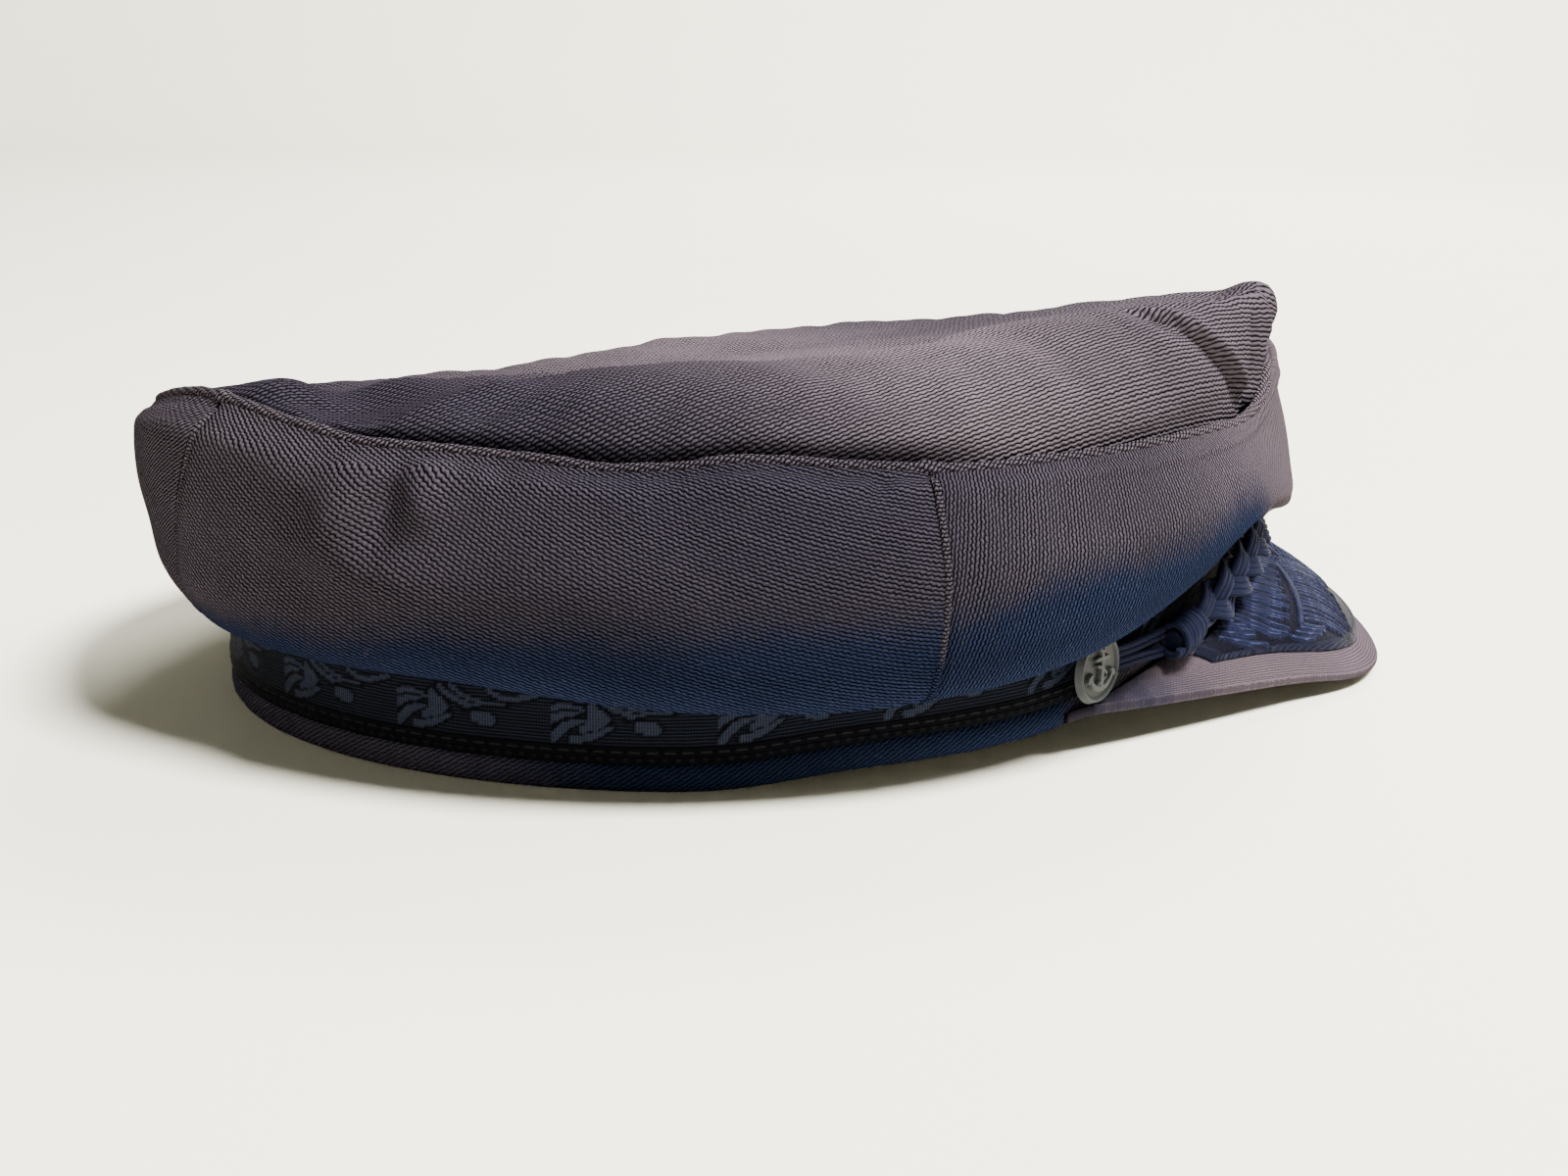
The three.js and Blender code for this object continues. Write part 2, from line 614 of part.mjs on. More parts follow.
function buildButtons() {
  for (const [name, side] of [['button_right', -1], ['button_left', 1]]) {
    const seat = plan(side * buttonAngle, clothGap + ribbonWall + clothGap + 2.3, 17.4);
    const out = plan(side * buttonFacing, 10).sub(plan(side * buttonFacing, 0)).normalize();
    const across = new THREE.Vector3(0, 0, 1).cross(out).normalize();
    const up = new THREE.Vector3().crossVectors(out, across);
    const geometry = buttonGeometry();
    geometry.applyMatrix4(new THREE.Matrix4().makeBasis(across, up, out).setPosition(seat));
    addPiece(name, geometry, paint.pewter);
  }
}

buildBand();
buildCrownSides();
buildWelt();
buildTop();
buildSeams();
buildPeak();
buildBraid();
buildKnots();
buildStraps();
buildButtons();

// The origin is the middle of the cap's box, on the surface that it rests on.
const box = new THREE.Box3().setFromObject(cap);
cap.position.set(-(box.min.x + box.max.x) / 2, -(box.min.y + box.max.y) / 2, 0);

export default cap;
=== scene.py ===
import bpy
import numpy as np
from mathutils import Matrix, Vector


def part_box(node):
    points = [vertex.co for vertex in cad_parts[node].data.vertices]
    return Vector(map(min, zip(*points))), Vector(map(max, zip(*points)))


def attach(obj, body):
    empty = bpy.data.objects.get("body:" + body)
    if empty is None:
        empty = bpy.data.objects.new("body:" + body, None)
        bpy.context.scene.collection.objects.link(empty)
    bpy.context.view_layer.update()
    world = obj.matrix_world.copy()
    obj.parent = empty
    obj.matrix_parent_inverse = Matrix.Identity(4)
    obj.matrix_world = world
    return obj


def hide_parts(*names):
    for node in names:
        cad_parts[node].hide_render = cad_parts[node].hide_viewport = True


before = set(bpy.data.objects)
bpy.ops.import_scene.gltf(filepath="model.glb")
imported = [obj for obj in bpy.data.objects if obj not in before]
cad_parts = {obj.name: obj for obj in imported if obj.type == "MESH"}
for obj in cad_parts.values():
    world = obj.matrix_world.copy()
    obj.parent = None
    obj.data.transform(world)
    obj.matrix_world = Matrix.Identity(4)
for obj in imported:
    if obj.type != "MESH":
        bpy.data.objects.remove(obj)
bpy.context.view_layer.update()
mm = 0.001

# The band's oval, about whose middle everything is set out. Lengths in mm, angles in degrees from
# the front, negative towards the wearer's right.
head = {"length": 209.0, "width": 172.0, "bandHeight": 34.0, "bandWall": 2.4, "hemStep": 0.9, "gap": 0.3}
bandLow, bandHigh = (np.array(corner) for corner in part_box("headband"))
middle = (bandLow + bandHigh) / 2 / mm
middle[2] = 0


# curves and surfaces

def readRows(rows, column, at, wrap=0.0):
    # cubic through (row[0], row[column]); the slope at a row is that of the chord past it
    x, y = np.array(rows, float)[:, [0, column]].T
    at = np.asarray(at, float)
    if wrap:
        x = np.concatenate([x - wrap, x, x + wrap])
        y = np.tile(y, 3)
        at = (at + 180) % wrap - 180
    wideX, wideY = np.pad(x, 1, mode="edge"), np.pad(y, 1, mode="edge")
    slope = (wideY[2:] - wideY[:-2]) / (wideX[2:] - wideX[:-2])
    k = np.clip(np.searchsorted(x, at, side="right") - 1, 0, len(x) - 2)
    span = x[k + 1] - x[k]
    u = np.clip((at - x[k]) / span, 0, 1)
    return (y[k] * (2 * u ** 3 - 3 * u ** 2 + 1) + slope[k] * span * (u ** 3 - 2 * u ** 2 + u)
            + y[k + 1] * (3 * u ** 2 - 2 * u ** 3) + slope[k + 1] * span * (u ** 3 - u ** 2))


def smooth(low, high, value):
    # 0 below low, 1 above high, and u * u * (3 - 2 * u) between
    u = np.clip((np.asarray(value, float) - low) / (high - low), 0, 1)
    return u * u * (3 - 2 * u)


def bell(away, width, power=2):
    # 1 at 0, falling as e to the power -(away / width) ^ power
    return np.exp(-(away / width) ** power)


def waves(far, periods, seed):
    # mean of sines of several periods with fixed phases
    phases = np.random.default_rng(seed).uniform(0, 2 * np.pi, len(periods))
    return sum(np.sin(2 * np.pi * far / period + phase)
               for period, phase in zip(periods, phases)) / len(periods)


def turned(angle, centre):
    # the way from centre round to angle, from -180 to 180
    return (np.asarray(angle, float) - centre + 180) % 360 - 180


def turnedBy(degrees, x, y):
    # x and y measured along and across a line that leans by so many degrees
    c, s = np.cos(np.radians(degrees)), np.sin(np.radians(degrees))
    return x * c + y * s, y * c - x * s


def plan(angle, out):
    # the point of the oval x = a cos t, y = b sin t in direction angle, moved out along its normal
    a, b = head["length"] / 2, head["width"] / 2
    angle = np.radians(angle)
    t = np.arctan2(a * np.sin(angle), b * np.cos(angle))
    nx, ny = np.cos(t) / a, np.sin(t) / b
    size = np.hypot(nx, ny)
    return a * np.cos(t) + nx / size * out, b * np.sin(t) + ny / size * out


def place(angle, out, z):
    # a point of the oval moved out, at the height z
    return np.stack(np.broadcast_arrays(*plan(angle, out), z), -1)


def outwardAt(angle, rise=0.0):
    # the way out of the oval, climbing by rise
    return place(angle, 1, rise) - place(angle, 0, 0)


def lengthAlong(path):
    # how far along a path each of its points lies
    return np.concatenate([[0], np.cumsum(np.linalg.norm(np.diff(path, axis=0), axis=-1))])


def ovalLength(angle):
    # how far round the oval an angle lies, in mm from the front
    fine = np.linspace(-360, 360, 2881)
    far = lengthAlong(np.stack(plan(fine, 0), -1))
    return np.interp(angle, fine, far - np.interp(0, fine, far))


def evenAngles(start, end, count):
    # count angles that divide the oval between start and end into equal lengths
    fine = np.linspace(start, end, 2000)
    far = ovalLength(fine)
    return np.interp(np.linspace(far[0], far[-1], count), far, fine)


def allRound(count):
    # count angles evenly round the whole oval
    return evenAngles(-180, 180, count + 1)[:-1]


def through(points, count):
    # points[..., k, :] joined by Catmull-Rom arcs and sampled evenly in k
    k = points.shape[-2]
    at = np.linspace(0, k - 1, count)
    i = np.minimum(at.astype(int), k - 2)
    u = (at - i)[:, None]
    p0, p1, p2, p3 = (points[..., np.clip(i + step, 0, k - 1), :] for step in (-1, 0, 1, 2))
    return 0.5 * (2 * p1 + (p2 - p0) * u + (2 * p0 - 5 * p1 + 4 * p2 - p3) * u ** 2
                  + (3 * p1 - p0 - 3 * p2 + p3) * u ** 3)


def surfaceNormals(grid, closed=False):
    # cross product of the two grid directions, one unit vector for each point
    along = np.roll(grid, -1, 0) - np.roll(grid, 1, 0) if closed else np.gradient(grid, axis=0)
    normal = np.cross(along, np.gradient(grid, axis=1))
    return normal / np.maximum(np.linalg.norm(normal, axis=2, keepdims=True), 1e-9)


class Shape:
    # gathers grids with their caps, maps and marks into one mesh
    def __init__(self):
        self.points, self.faces, self.maps, self.marks = [], [], [], {}
        self.count = 0

    def grid(self, points, uv=None, marks=None, closeRows=False, closeCols=False, flip=False):
        rows, cols = points.shape[:2]
        marks = marks or {}
        i, j = (axis.ravel() for axis in np.meshgrid(
            np.arange(rows if closeRows else rows - 1),
            np.arange(cols if closeCols else cols - 1), indexing="ij"))
        corners = [(i, j), (i + 1, j), (i + 1, j + 1), (i, j + 1)]
        quads = np.stack([(a % rows) * cols + b % cols for a, b in corners], 1) + self.count
        uv = np.zeros((1, 1, 2)) if uv is None else uv
        loops = np.stack([uv[np.minimum(a, uv.shape[0] - 1), np.minimum(b, uv.shape[1] - 1)]
                          for a, b in corners], 1)
        self.points.append(points.reshape(-1, 3))
        self.faces.append(quads[:, ::-1] if flip else quads)
        self.maps.append(loops[:, ::-1] if flip else loops)
        for name in set(self.marks) | set(marks):
            held = self.marks.get(name, np.zeros(self.count))
            new = np.broadcast_to(marks.get(name, 0.0), (rows, cols)).ravel()
            self.marks[name] = np.concatenate([held, new])
        self.count += rows * cols

    def fan(self, ring, uv=(0.0, 0.0), flip=False):
        # closes a ring of point numbers with triangles to its middle
        self.points.append(np.concatenate(self.points)[ring].mean(0)[None])
        for name, held in self.marks.items():
            self.marks[name] = np.append(held, held[ring].mean())
        tris = np.stack([ring, np.roll(ring, -1), np.full(len(ring), self.count)], 1)
        self.faces.append(tris[:, ::-1] if flip else tris)
        self.maps.append(np.tile(np.array(uv, float), (len(ring), 3, 1)))
        self.count += 1

    def body(self, points, uv=None, marks=None, turnedBody=False, tipUv=(0.0, 0.0)):
        # a closed body of rings, which are the rows, or the columns of a turned body
        numbers = self.count + np.arange(points.shape[0] * points.shape[1]).reshape(points.shape[:2])
        self.grid(points, uv, marks, closeRows=turnedBody, closeCols=not turnedBody, flip=turnedBody)
        rings = numbers.T if turnedBody else numbers
        self.fan(rings[0], tipUv)
        self.fan(rings[-1], tipUv, flip=True)

    def makeObject(self, name, material):
        mesh = bpy.data.meshes.new(name)
        points = (np.concatenate(self.points) + middle) * mm
        mesh.vertices.add(len(points))
        mesh.vertices.foreach_set("co", points.astype(np.float32).ravel())
        corners = np.concatenate([face.ravel() for face in self.faces])
        sizes = np.concatenate([np.full(len(face), face.shape[1]) for face in self.faces])
        mesh.loops.add(len(corners))
        mesh.loops.foreach_set("vertex_index", corners.astype(np.int32))
        mesh.polygons.add(len(sizes))
        starts = np.concatenate([[0], np.cumsum(sizes)[:-1]])
        mesh.polygons.foreach_set("loop_start", starts.astype(np.int32))
        mesh.update(calc_edges=True)
        layer = mesh.uv_layers.new(name="clothMap")
        maps = np.concatenate([part.reshape(-1, 2) for part in self.maps])
        layer.data.foreach_set("uv", maps.astype(np.float32).ravel())
        for mark, values in self.marks.items():
            held = mesh.attributes.new(mark, "FLOAT", "POINT")
            held.data.foreach_set("value", values.astype(np.float32))
        mesh.polygons.foreach_set("use_smooth", np.full(len(sizes), True))
        mesh.validate()
        made = bpy.data.objects.new(name, mesh)
        bpy.context.collection.objects.link(made)
        mesh.materials.append(material)
        return made

    def build(self, name, material, slotName, *nodes):
        piece = self.makeObject(name, material)
        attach(piece, "root")
        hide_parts(*nodes)


def bothFaces(marks, size):
    # marks over an outer face, and mirrored over the inner one
    wide = {name: np.broadcast_to(mark, size) for name, mark in marks.items()}
    return {name: np.concatenate([mark, mark[:, ::-1]], 1) for name, mark in wide.items()}


def twoFaced(outer, inner, uv, marks):
    # a body between two grids of the same size, its edges joined and its ends capped
    rows, cols = outer.shape[:2]
    shape = Shape()
    shape.grid(np.concatenate([outer, inner[:, ::-1]], 1), np.concatenate([uv, uv[:, ::-1], uv[:, :1]], 1),
               bothFaces(marks, (rows, cols)), closeCols=True)
    k = np.arange(cols - 1)
    for first, flip in ((0, False), ((rows - 1) * 2 * cols, True)):
        last = first + 2 * cols - 1
        ends = np.stack([first + k, first + k + 1, last - 1 - k, last - k], 1)
        shape.faces.append(ends[:, ::-1] if flip else ends)
        shape.maps.append(np.zeros((cols - 1, 4, 2)))
    return shape


def frameAlong(path, outward):
    # forward, across and outward unit vectors at each point of a path
    forward = np.gradient(path, axis=0)
    forward /= np.linalg.norm(forward, axis=1, keepdims=True)
    across = np.cross(outward, forward)
    across /= np.linalg.norm(across, axis=1, keepdims=True)
    return forward, across, np.cross(forward, across)


def tube(path, radius, sides, uvTurn, closed=False, flatten=1.0, upwards=(0, 0, 1.0)):
    # a round or flattened section carried along a path: across * cos - up * sin, at each point
    around = np.concatenate([path[-2:], path, path[:2]]) if closed else path
    _, across, up = frameAlong(around, upwards)
    if closed:
        across, up = across[2:-2], up[2:-2]
    turn = np.linspace(0, 2 * np.pi, sides, endpoint=False)[None, :, None]
    ring = across[:, None] * np.cos(turn) - up[:, None] * np.sin(turn) * flatten
    points = path[:, None] + ring * np.broadcast_to(radius, (len(path),))[:, None, None]
    far = lengthAlong(path)
    far = np.append(far, far[-1] + far[-1] / (len(path) - 1))[:, None]
    return points, np.stack(np.broadcast_arrays(far, np.arange(sides + 1) / sides * uvTurn), 2)


# the cap's own lines, in mm

# height of the hem above the surface by angle: the peak lifts the front of the band
hemRise = [(0, 20), (20, 19), (33, 16), (44, 12), (57, 7), (69, 4.4), (93, 2.8), (106, 0.5),
           (114, 0), (180, 0)]
# the side of the crown by angle: the overhang is its lowest fold, the shoulder lies just under the
# welt, and the ridge is the crest of the top panel, ridgeIn inside the welt
crownColumns = ["angle", "overOut", "overZ", "wideOut", "wideZ", "shoulderOut", "shoulderZ",
                "weltOut", "weltZ", "ridgeIn", "ridgeZ"]
crownShape = [
    (-180, 7, 21, 14.5, 37, 16, 54, 11.5, 59.5, 14, 58.5),
    (-164, 7.5, 20.5, 15.4, 38, 17.9, 57.8, 12.1, 64.8, 17, 67.2),
    (-151, 8.2, 20.8, 16.2, 39.4, 16.6, 58, 10.7, 64.7, 17, 65.6),
    (-135, 9.5, 21.5, 17, 41, 14.5, 57.5, 9, 63.3, 26, 70.6),
    (-110, 10.5, 18.5, 18, 39, 13.5, 56, 8, 61.8, 30, 72.6),
    (-88, 10.5, 18.5, 18, 40, 13, 56, 8, 61.8, 27, 73.2),
    (-66, 10.5, 22.8, 18, 43, 12.5, 55.5, 8, 61, 21, 76),
    (-50, 11, 32, 17, 46, 11.5, 55.5, 7.5, 61, 15, 79.8),
    (-37, 10.5, 40.3, 15, 46.5, 10.5, 57, 7.5, 62, 7, 80.3),
    (-24, 10, 37.5, 14, 43.5, 9.5, 60.5, 8.5, 67.5, 2.5, 79.5),
    (-10, 10, 37.5, 14, 43, 9, 62.5, 8, 70, 2.5, 78),
    (12, 10, 37.5, 14, 43, 9.5, 61, 8, 68.5, 7, 71.5),
    (30, 10.5, 37, 15, 44, 11, 57, 8, 62.5, 14, 65.5),
    (50, 11, 30, 16.5, 42, 12.5, 53.5, 8.5, 58.5, 20, 62),
    (70, 10.5, 22.5, 17.5, 38, 13.5, 50, 8.5, 55.5, 24, 59.5),
    (92, 10.5, 18.5, 17.5, 34, 14, 45.5, 8.5, 51, 26, 56.5),
    (118, 10, 18.5, 17, 32, 14, 42.5, 8.5, 48, 24, 52.5),
    (145, 8.5, 19.5, 15.5, 33, 14, 45, 9.5, 50.5, 18, 53),
]
# how far the welt rises (+) or sags (-) from the line above, by angle
weltSag = [(-180, 0), (-160, 1), (-151, -1), (-143, -2.4), (-135, -1.7), (-127, -2), (-119, -2.7),
           (-113, -2.1), (-106, -0.5), (-100, -1.3), (-91, -2.4), (-82, -3.3), (-70, -2.5),
           (-57, -2.2), (-43, -2.4), (-36, -3.6), (-31, -4.2), (-26, -1), (-18, 0), (90, 0)]
sagShare = {"weltZ": 1.0, "shoulderZ": 0.6}
# angle, height, spread in degrees, height of the bell, depth
dents = [(-150, 40, 10, 12, 1.6), (-136, 50, 7, 8, 1.8), (-122, 46, 9, 11, -1.2),
         (-70, 49, 12, 9, 1.3), (-28, 52, 12, 8, 1.5), (40, 46, 14, 9, 1.8),
         (104, 36, 18, 9, 2.2), (160, 40, 12, 9, 1.6)]
seams = {"front": 0, "right": -86, "back": -159.5, "left": 86}
crown = {"wall": 1.8, "welt": 1.3, "weltFlat": 1.052, "topLow": 1.2, "topCentre": (4.0, -4.0, 62.5)}
# the cloth about the back seam is twisted: by how many degrees from the welt to the overhang, how
# far the twist reaches, and the part of it at each point of the line
backLean = {"degrees": -11.0, "reach": 45.0}
leanShares = [1, 1, 1, 1, 0.93, 0.8, 0.6, 0.3, 0.06, 0, 0]


def hemZ(angle):
    return np.maximum(readRows(hemRise, 1, np.abs(angle)), 0)


def crownAt(angle, column):
    sag = sagShare.get(column, 0) * readRows(weltSag, 1, angle, 360)
    return readRows(crownShape, crownColumns.index(column), angle, 360) + sag


def dentDepth(angle, z):
    # sum of bell curves about each dent's angle and height
    return sum(depth * bell(turned(angle, at), spread) * bell(z - height, tall)
               for at, height, spread, tall, depth in dents)


def crownLine(angle):
    # middle of the cloth as [out, z]: from the band's top, down to the overhang, up to the welt
    overOut, overZ, wideOut, wideZ, shoulderOut, shoulderZ, weltOut, weltZ = (
        crownAt(angle, column) for column in crownColumns[1:9])
    half = crown["wall"] / 2
    top = hemZ(angle) + head["bandHeight"] + head["gap"] + half
    under = weltZ - crown["weltFlat"] - head["gap"] - half

    def dented(out, z):
        return out - dentDepth(angle, z), z
    line = [
        (0.4 - head["bandWall"], top),
        (1.6, top),
        (overOut - 1.7, overZ + 1.9),
        (overOut + 0.6, overZ + half),
        (overOut + 2.9, overZ + 3),
        dented((overOut + wideOut) / 2 + 2.2, (overZ + wideZ) / 2),
        dented(wideOut, wideZ),
        dented((wideOut + shoulderOut) / 2 + 0.8, (wideZ + shoulderZ) / 2),
        dented(shoulderOut, shoulderZ),
        ((shoulderOut + weltOut) / 2 + 1.2, (shoulderZ + under) / 2 + 0.8),
        (weltOut + 0.4, under),
    ]
    return np.stack([np.stack(np.broadcast_arrays(*pair), -1) for pair in line], -2)


def twistedLine(angle):
    # the line where the cloth is twisted, as [out, z, angle]
    near = 1 - np.abs(turned(angle, seams["back"])) / backLean["reach"]
    lean = backLean["degrees"] * smooth(0, 1, near)
    at = [angle + share * lean for share in leanShares]
    return np.stack([np.concatenate([crownLine(a)[..., k, :], a[..., None]], -1)
                     for k, a in enumerate(at)], -2)


def topPoint(angle, share):
    # from the middle of the top (share 0) over the ridge to where the panel tucks in at the welt (1)
    ex, ey = plan(angle, crownAt(angle, "weltOut") - crown["welt"] - head["gap"])
    ez = crownAt(angle, "weltZ") - crown["topLow"]
    cx, cy, cz = crown["topCentre"]
    ridge = 1 - crownAt(angle, "ridgeIn") / np.hypot(ex - cx, ey - cy)
    ridgeZ = crownAt(angle, "ridgeZ")
    u = np.clip((share - ridge) / (1 - ridge), 0, 1)
    past = ridgeZ - (ridgeZ - ez) * (1 - np.sqrt(np.maximum(1 - u ** 2.3, 0)))
    within = cz + (ridgeZ - cz) * smooth(0, 1, share / ridge)
    return np.stack(np.broadcast_arrays(cx + (ex - cx) * share, cy + (ey - cy) * share,
                                        np.where(share >= ridge, past, within)), -1)


def strokeField(x, y, strokes):
    # strokes: x0, y0, x1, y1, x2, y2 of a bent line, then its half width at the start, middle, end.
    # For each point: the height of the highest round stroke over it, from 0 to 1, the distance
    # across that stroke and the way along it, in the units of x and y
    x, y = np.broadcast_arrays(x, y)
    best, side, along = np.zeros((3, *x.shape))
    t = np.linspace(0, 1, 26)
    for x0, y0, x1, y1, x2, y2, *widths in strokes:
        px = x0 * (1 - t) ** 2 + 2 * x1 * t * (1 - t) + x2 * t ** 2
        py = y0 * (1 - t) ** 2 + 2 * y1 * t * (1 - t) + y2 * t ** 2
        reach = max(widths)
        near = ((x > px.min() - reach) & (x < px.max() + reach)
                & (y > py.min() - reach) & (y < py.max() + reach))
        if not near.any():
            continue
        dx, dy = x[near][:, None] - px, y[near][:, None] - py
        k = np.hypot(dx, dy).argmin(1)
        dx, dy = (part[np.arange(len(k)), k] for part in (dx, dy))
        gx, gy = np.gradient(px)[k], np.gradient(py)[k]
        gx, gy = (part / np.hypot(gx, gy) for part in (gx, gy))
        slip, across = dx * gx + dy * gy, gx * dy - gy * dx
        past = np.where((k == 0) | (k == len(t) - 1), slip, 0)
        width = np.interp(t[k], [0, 0.5, 1], widths)
        height = np.sqrt(np.maximum(1 - (across ** 2 + past ** 2) / width ** 2, 0))
        higher = height > best[near]
        far = np.hypot(px[k] - x0, py[k] - y0) + slip
        for held, value in ((best, height), (side, across), (along, far)):
            held[near] = np.where(higher, value, held[near])
    return best, side, along


# node helpers and shared effects

def feed(tree, node, inputs):
    # links each input, or sets it to a plain value
    for name, value in inputs.items():
        value = value.socket if isinstance(value, Field) else value
        if isinstance(value, bpy.types.NodeSocket):
            tree.links.new(value, node.inputs[name])
        else:
            node.inputs[name].default_value = value


def put(tree, kind, inputs=None, **settings):
    node = tree.nodes.new(kind)
    for name, value in settings.items():
        setattr(node, name, value)
    feed(tree, node, inputs or {})
    return node


class Field:
    # a number in a node tree: arithmetic on it adds the nodes that work it out
    def __init__(self, tree, socket):
        self.tree, self.socket = tree, socket

    def work(self, operation, *values):
        node = put(self.tree, "ShaderNodeMath", dict(enumerate(values)), operation=operation)
        return Field(self.tree, node.outputs[0])

    def __add__(self, other):
        return self.work("ADD", self, other)

    def __sub__(self, other):
        return self.work("SUBTRACT", self, other)

    def __rsub__(self, other):
        return self.work("SUBTRACT", other, self)

    def __mul__(self, other):
        return self.work("MULTIPLY", self, other)

    def __truediv__(self, other):
        return self.work("DIVIDE", self, other)

    def __pow__(self, power):
        return self.work("POWER", self, power)

    def sine(self):
        return self.work("SINE", self)

    def wave(self, period, shift=0.0):
        # a sine of that period, from 0 to 1
        return (self * (2 * np.pi / period) + shift).sine() * 0.5 + 0.5

    def step(self, low, high):
        node = put(self.tree, "ShaderNodeMapRange", {"Value": self, "From Min": low, "From Max": high},
                   interpolation_type="SMOOTHSTEP")
        return Field(self.tree, node.outputs["Result"])


def noise(tree, at, scale, detail, roughness=0.5):
    node = put(tree, "ShaderNodeTexNoise", {"Vector": at, "Scale": scale, "Detail": detail,
                                            "Roughness": roughness})
    return Field(tree, node.outputs[0])


def splitXY(tree, at):
    outputs = put(tree, "ShaderNodeSeparateXYZ", {0: at}).outputs
    return Field(tree, outputs["X"]), Field(tree, outputs["Y"])


def blend(tree, factor, a, b, how="MIX"):
    # colours are three numbers or a socket
    a, b = ((*colour, 1) if isinstance(colour, (tuple, list)) else colour for colour in (a, b))
    return put(tree, "ShaderNodeMix", {0: factor, 6: a, 7: b}, data_type="RGBA", blend_type=how).outputs[2]


def darken(tree, colour, shade):
    grey = put(tree, "ShaderNodeCombineColor", {0: shade, 1: shade, 2: shade}).outputs[0]
    return blend(tree, 1.0, colour, grey, "MULTIPLY")


def group(name, inputs, results):
    # inputs by name with their defaults, where None is a vector
    tree = bpy.data.node_groups.new(name, "ShaderNodeTree")
    for label, value in inputs.items():
        kind = "NodeSocketVector" if value is None else "NodeSocketFloat"
        socket = tree.interface.new_socket(label, in_out="INPUT", socket_type=kind)
        if value is not None:
            socket.default_value = value
    for label in results:
        tree.interface.new_socket(label, in_out="OUTPUT", socket_type="NodeSocketFloat")
    sockets = put(tree, "NodeGroupInput").outputs
    return tree, {label: Field(tree, sockets[label]) for label in inputs}, put(tree, "NodeGroupOutput")


def use(tree, shared, inputs):
    node = put(tree, "ShaderNodeGroup", inputs, node_tree=shared)
    return {socket.name: Field(tree, socket) for socket in node.outputs}


def makeTwill():
    # wales run along the map's X, `Pitch` apart in Y, each a chain of floats `Stitch` long
    tree, given, out = group("twillWeave", {"Map": None, "Pitch": 0.9, "Stitch": 1.3, "Grain": 0.4},
                             ("Height", "Wale", "Slub"))
    along, across = splitXY(tree, given["Map"])
    unrest = (noise(tree, given["Map"], 0.55, 2.0, 0.6) - 0.5) * 0.72
    chainAt = along / given["Stitch"]
    zigzag = (chainAt * (2 * np.pi)).sine() * 0.09
    row = across / given["Pitch"] + unrest + zigzag
    whole = row.work("FLOOR", row)
    brick = (chainAt + whole * 0.382) * np.pi
    chain = brick.work("ABSOLUTE", brick.sine())
    # cloth with little wale shows its chains as grains
    wale = ((row - whole) * np.pi).sine() ** 0.8 * (chain ** 0.6 * given["Grain"] + (1 - given["Grain"]))
    slub = noise(tree, given["Map"], 1.9, 3.0, 0.75)
    feed(tree, out, {"Height": wale * (chain * 0.3 + 0.7) + slub * 0.3, "Wale": wale, "Slub": slub})
    return tree


def makeMottle():
    # broad and fine unevenness of worn cloth, from 0 to 1, and specks of lint
    tree, given, out = group("wornMottle", {"Place": None}, ("Broad", "Fine", "Lint"))
    feed(tree, out, {"Broad": noise(tree, given["Place"], 26.0, 3.0, 0.6),
                     "Fine": noise(tree, given["Place"], 240.0, 4.0, 0.6),
                     "Lint": noise(tree, given["Place"], 700.0, 1.0).step(0.66, 0.74)})
    return tree


def makeFade():
    # how navy the cloth still is: its own mark, broken up by the mottle
    tree, given, out = group("sunFade", {"Navy": 0.0, "Broad": 0.5, "Fine": 0.5}, ("Navy",))
    uneven = (given["Broad"] - 0.5) * 0.5 + (given["Fine"] - 0.5) * 0.5
    feed(tree, out, {"Navy": (given["Navy"] + uneven).step(0.05, 0.95)})
    return tree


twillWeave, wornMottle, sunFade = makeTwill(), makeMottle(), makeFade()


def material(name):
    made = bpy.data.materials.new(name)
    made.use_nodes = True
    tree = made.node_tree
    tree.nodes.clear()
    surface = put(tree, "ShaderNodeBsdfPrincipled")
    put(tree, "ShaderNodeOutputMaterial", {"Surface": surface.outputs[0]})
    return made, tree, surface


def clothMap(tree):
    return put(tree, "ShaderNodeUVMap", uv_map="clothMap").outputs[0]


def objectPlace(tree):
    return put(tree, "ShaderNodeTexCoord").outputs["Object"]


def mark(tree, name):
    return Field(tree, put(tree, "ShaderNodeAttribute", attribute_name=name).outputs["Fac"])


def finish(tree, surface, colour, height, depth, roughness, **more):
    # dull unless more says otherwise; depth is that of the bump, in mm
    bump = put(tree, "ShaderNodeBump", {"Height": height, "Distance": depth * mm, "Strength": 1.0})
    feed(tree, surface, {"Base Color": colour, "Roughness": roughness, "Normal": bump.outputs[0],
                         "Specular IOR Level": more.get("shine", 0.0), "Metallic": more.get("metallic", 0.0),
                         "Sheen Weight": more.get("sheen", 0.0), "Sheen Roughness": 0.55,
                         "Sheen Tint": (0.6, 0.6, 1.0, 1.0)})


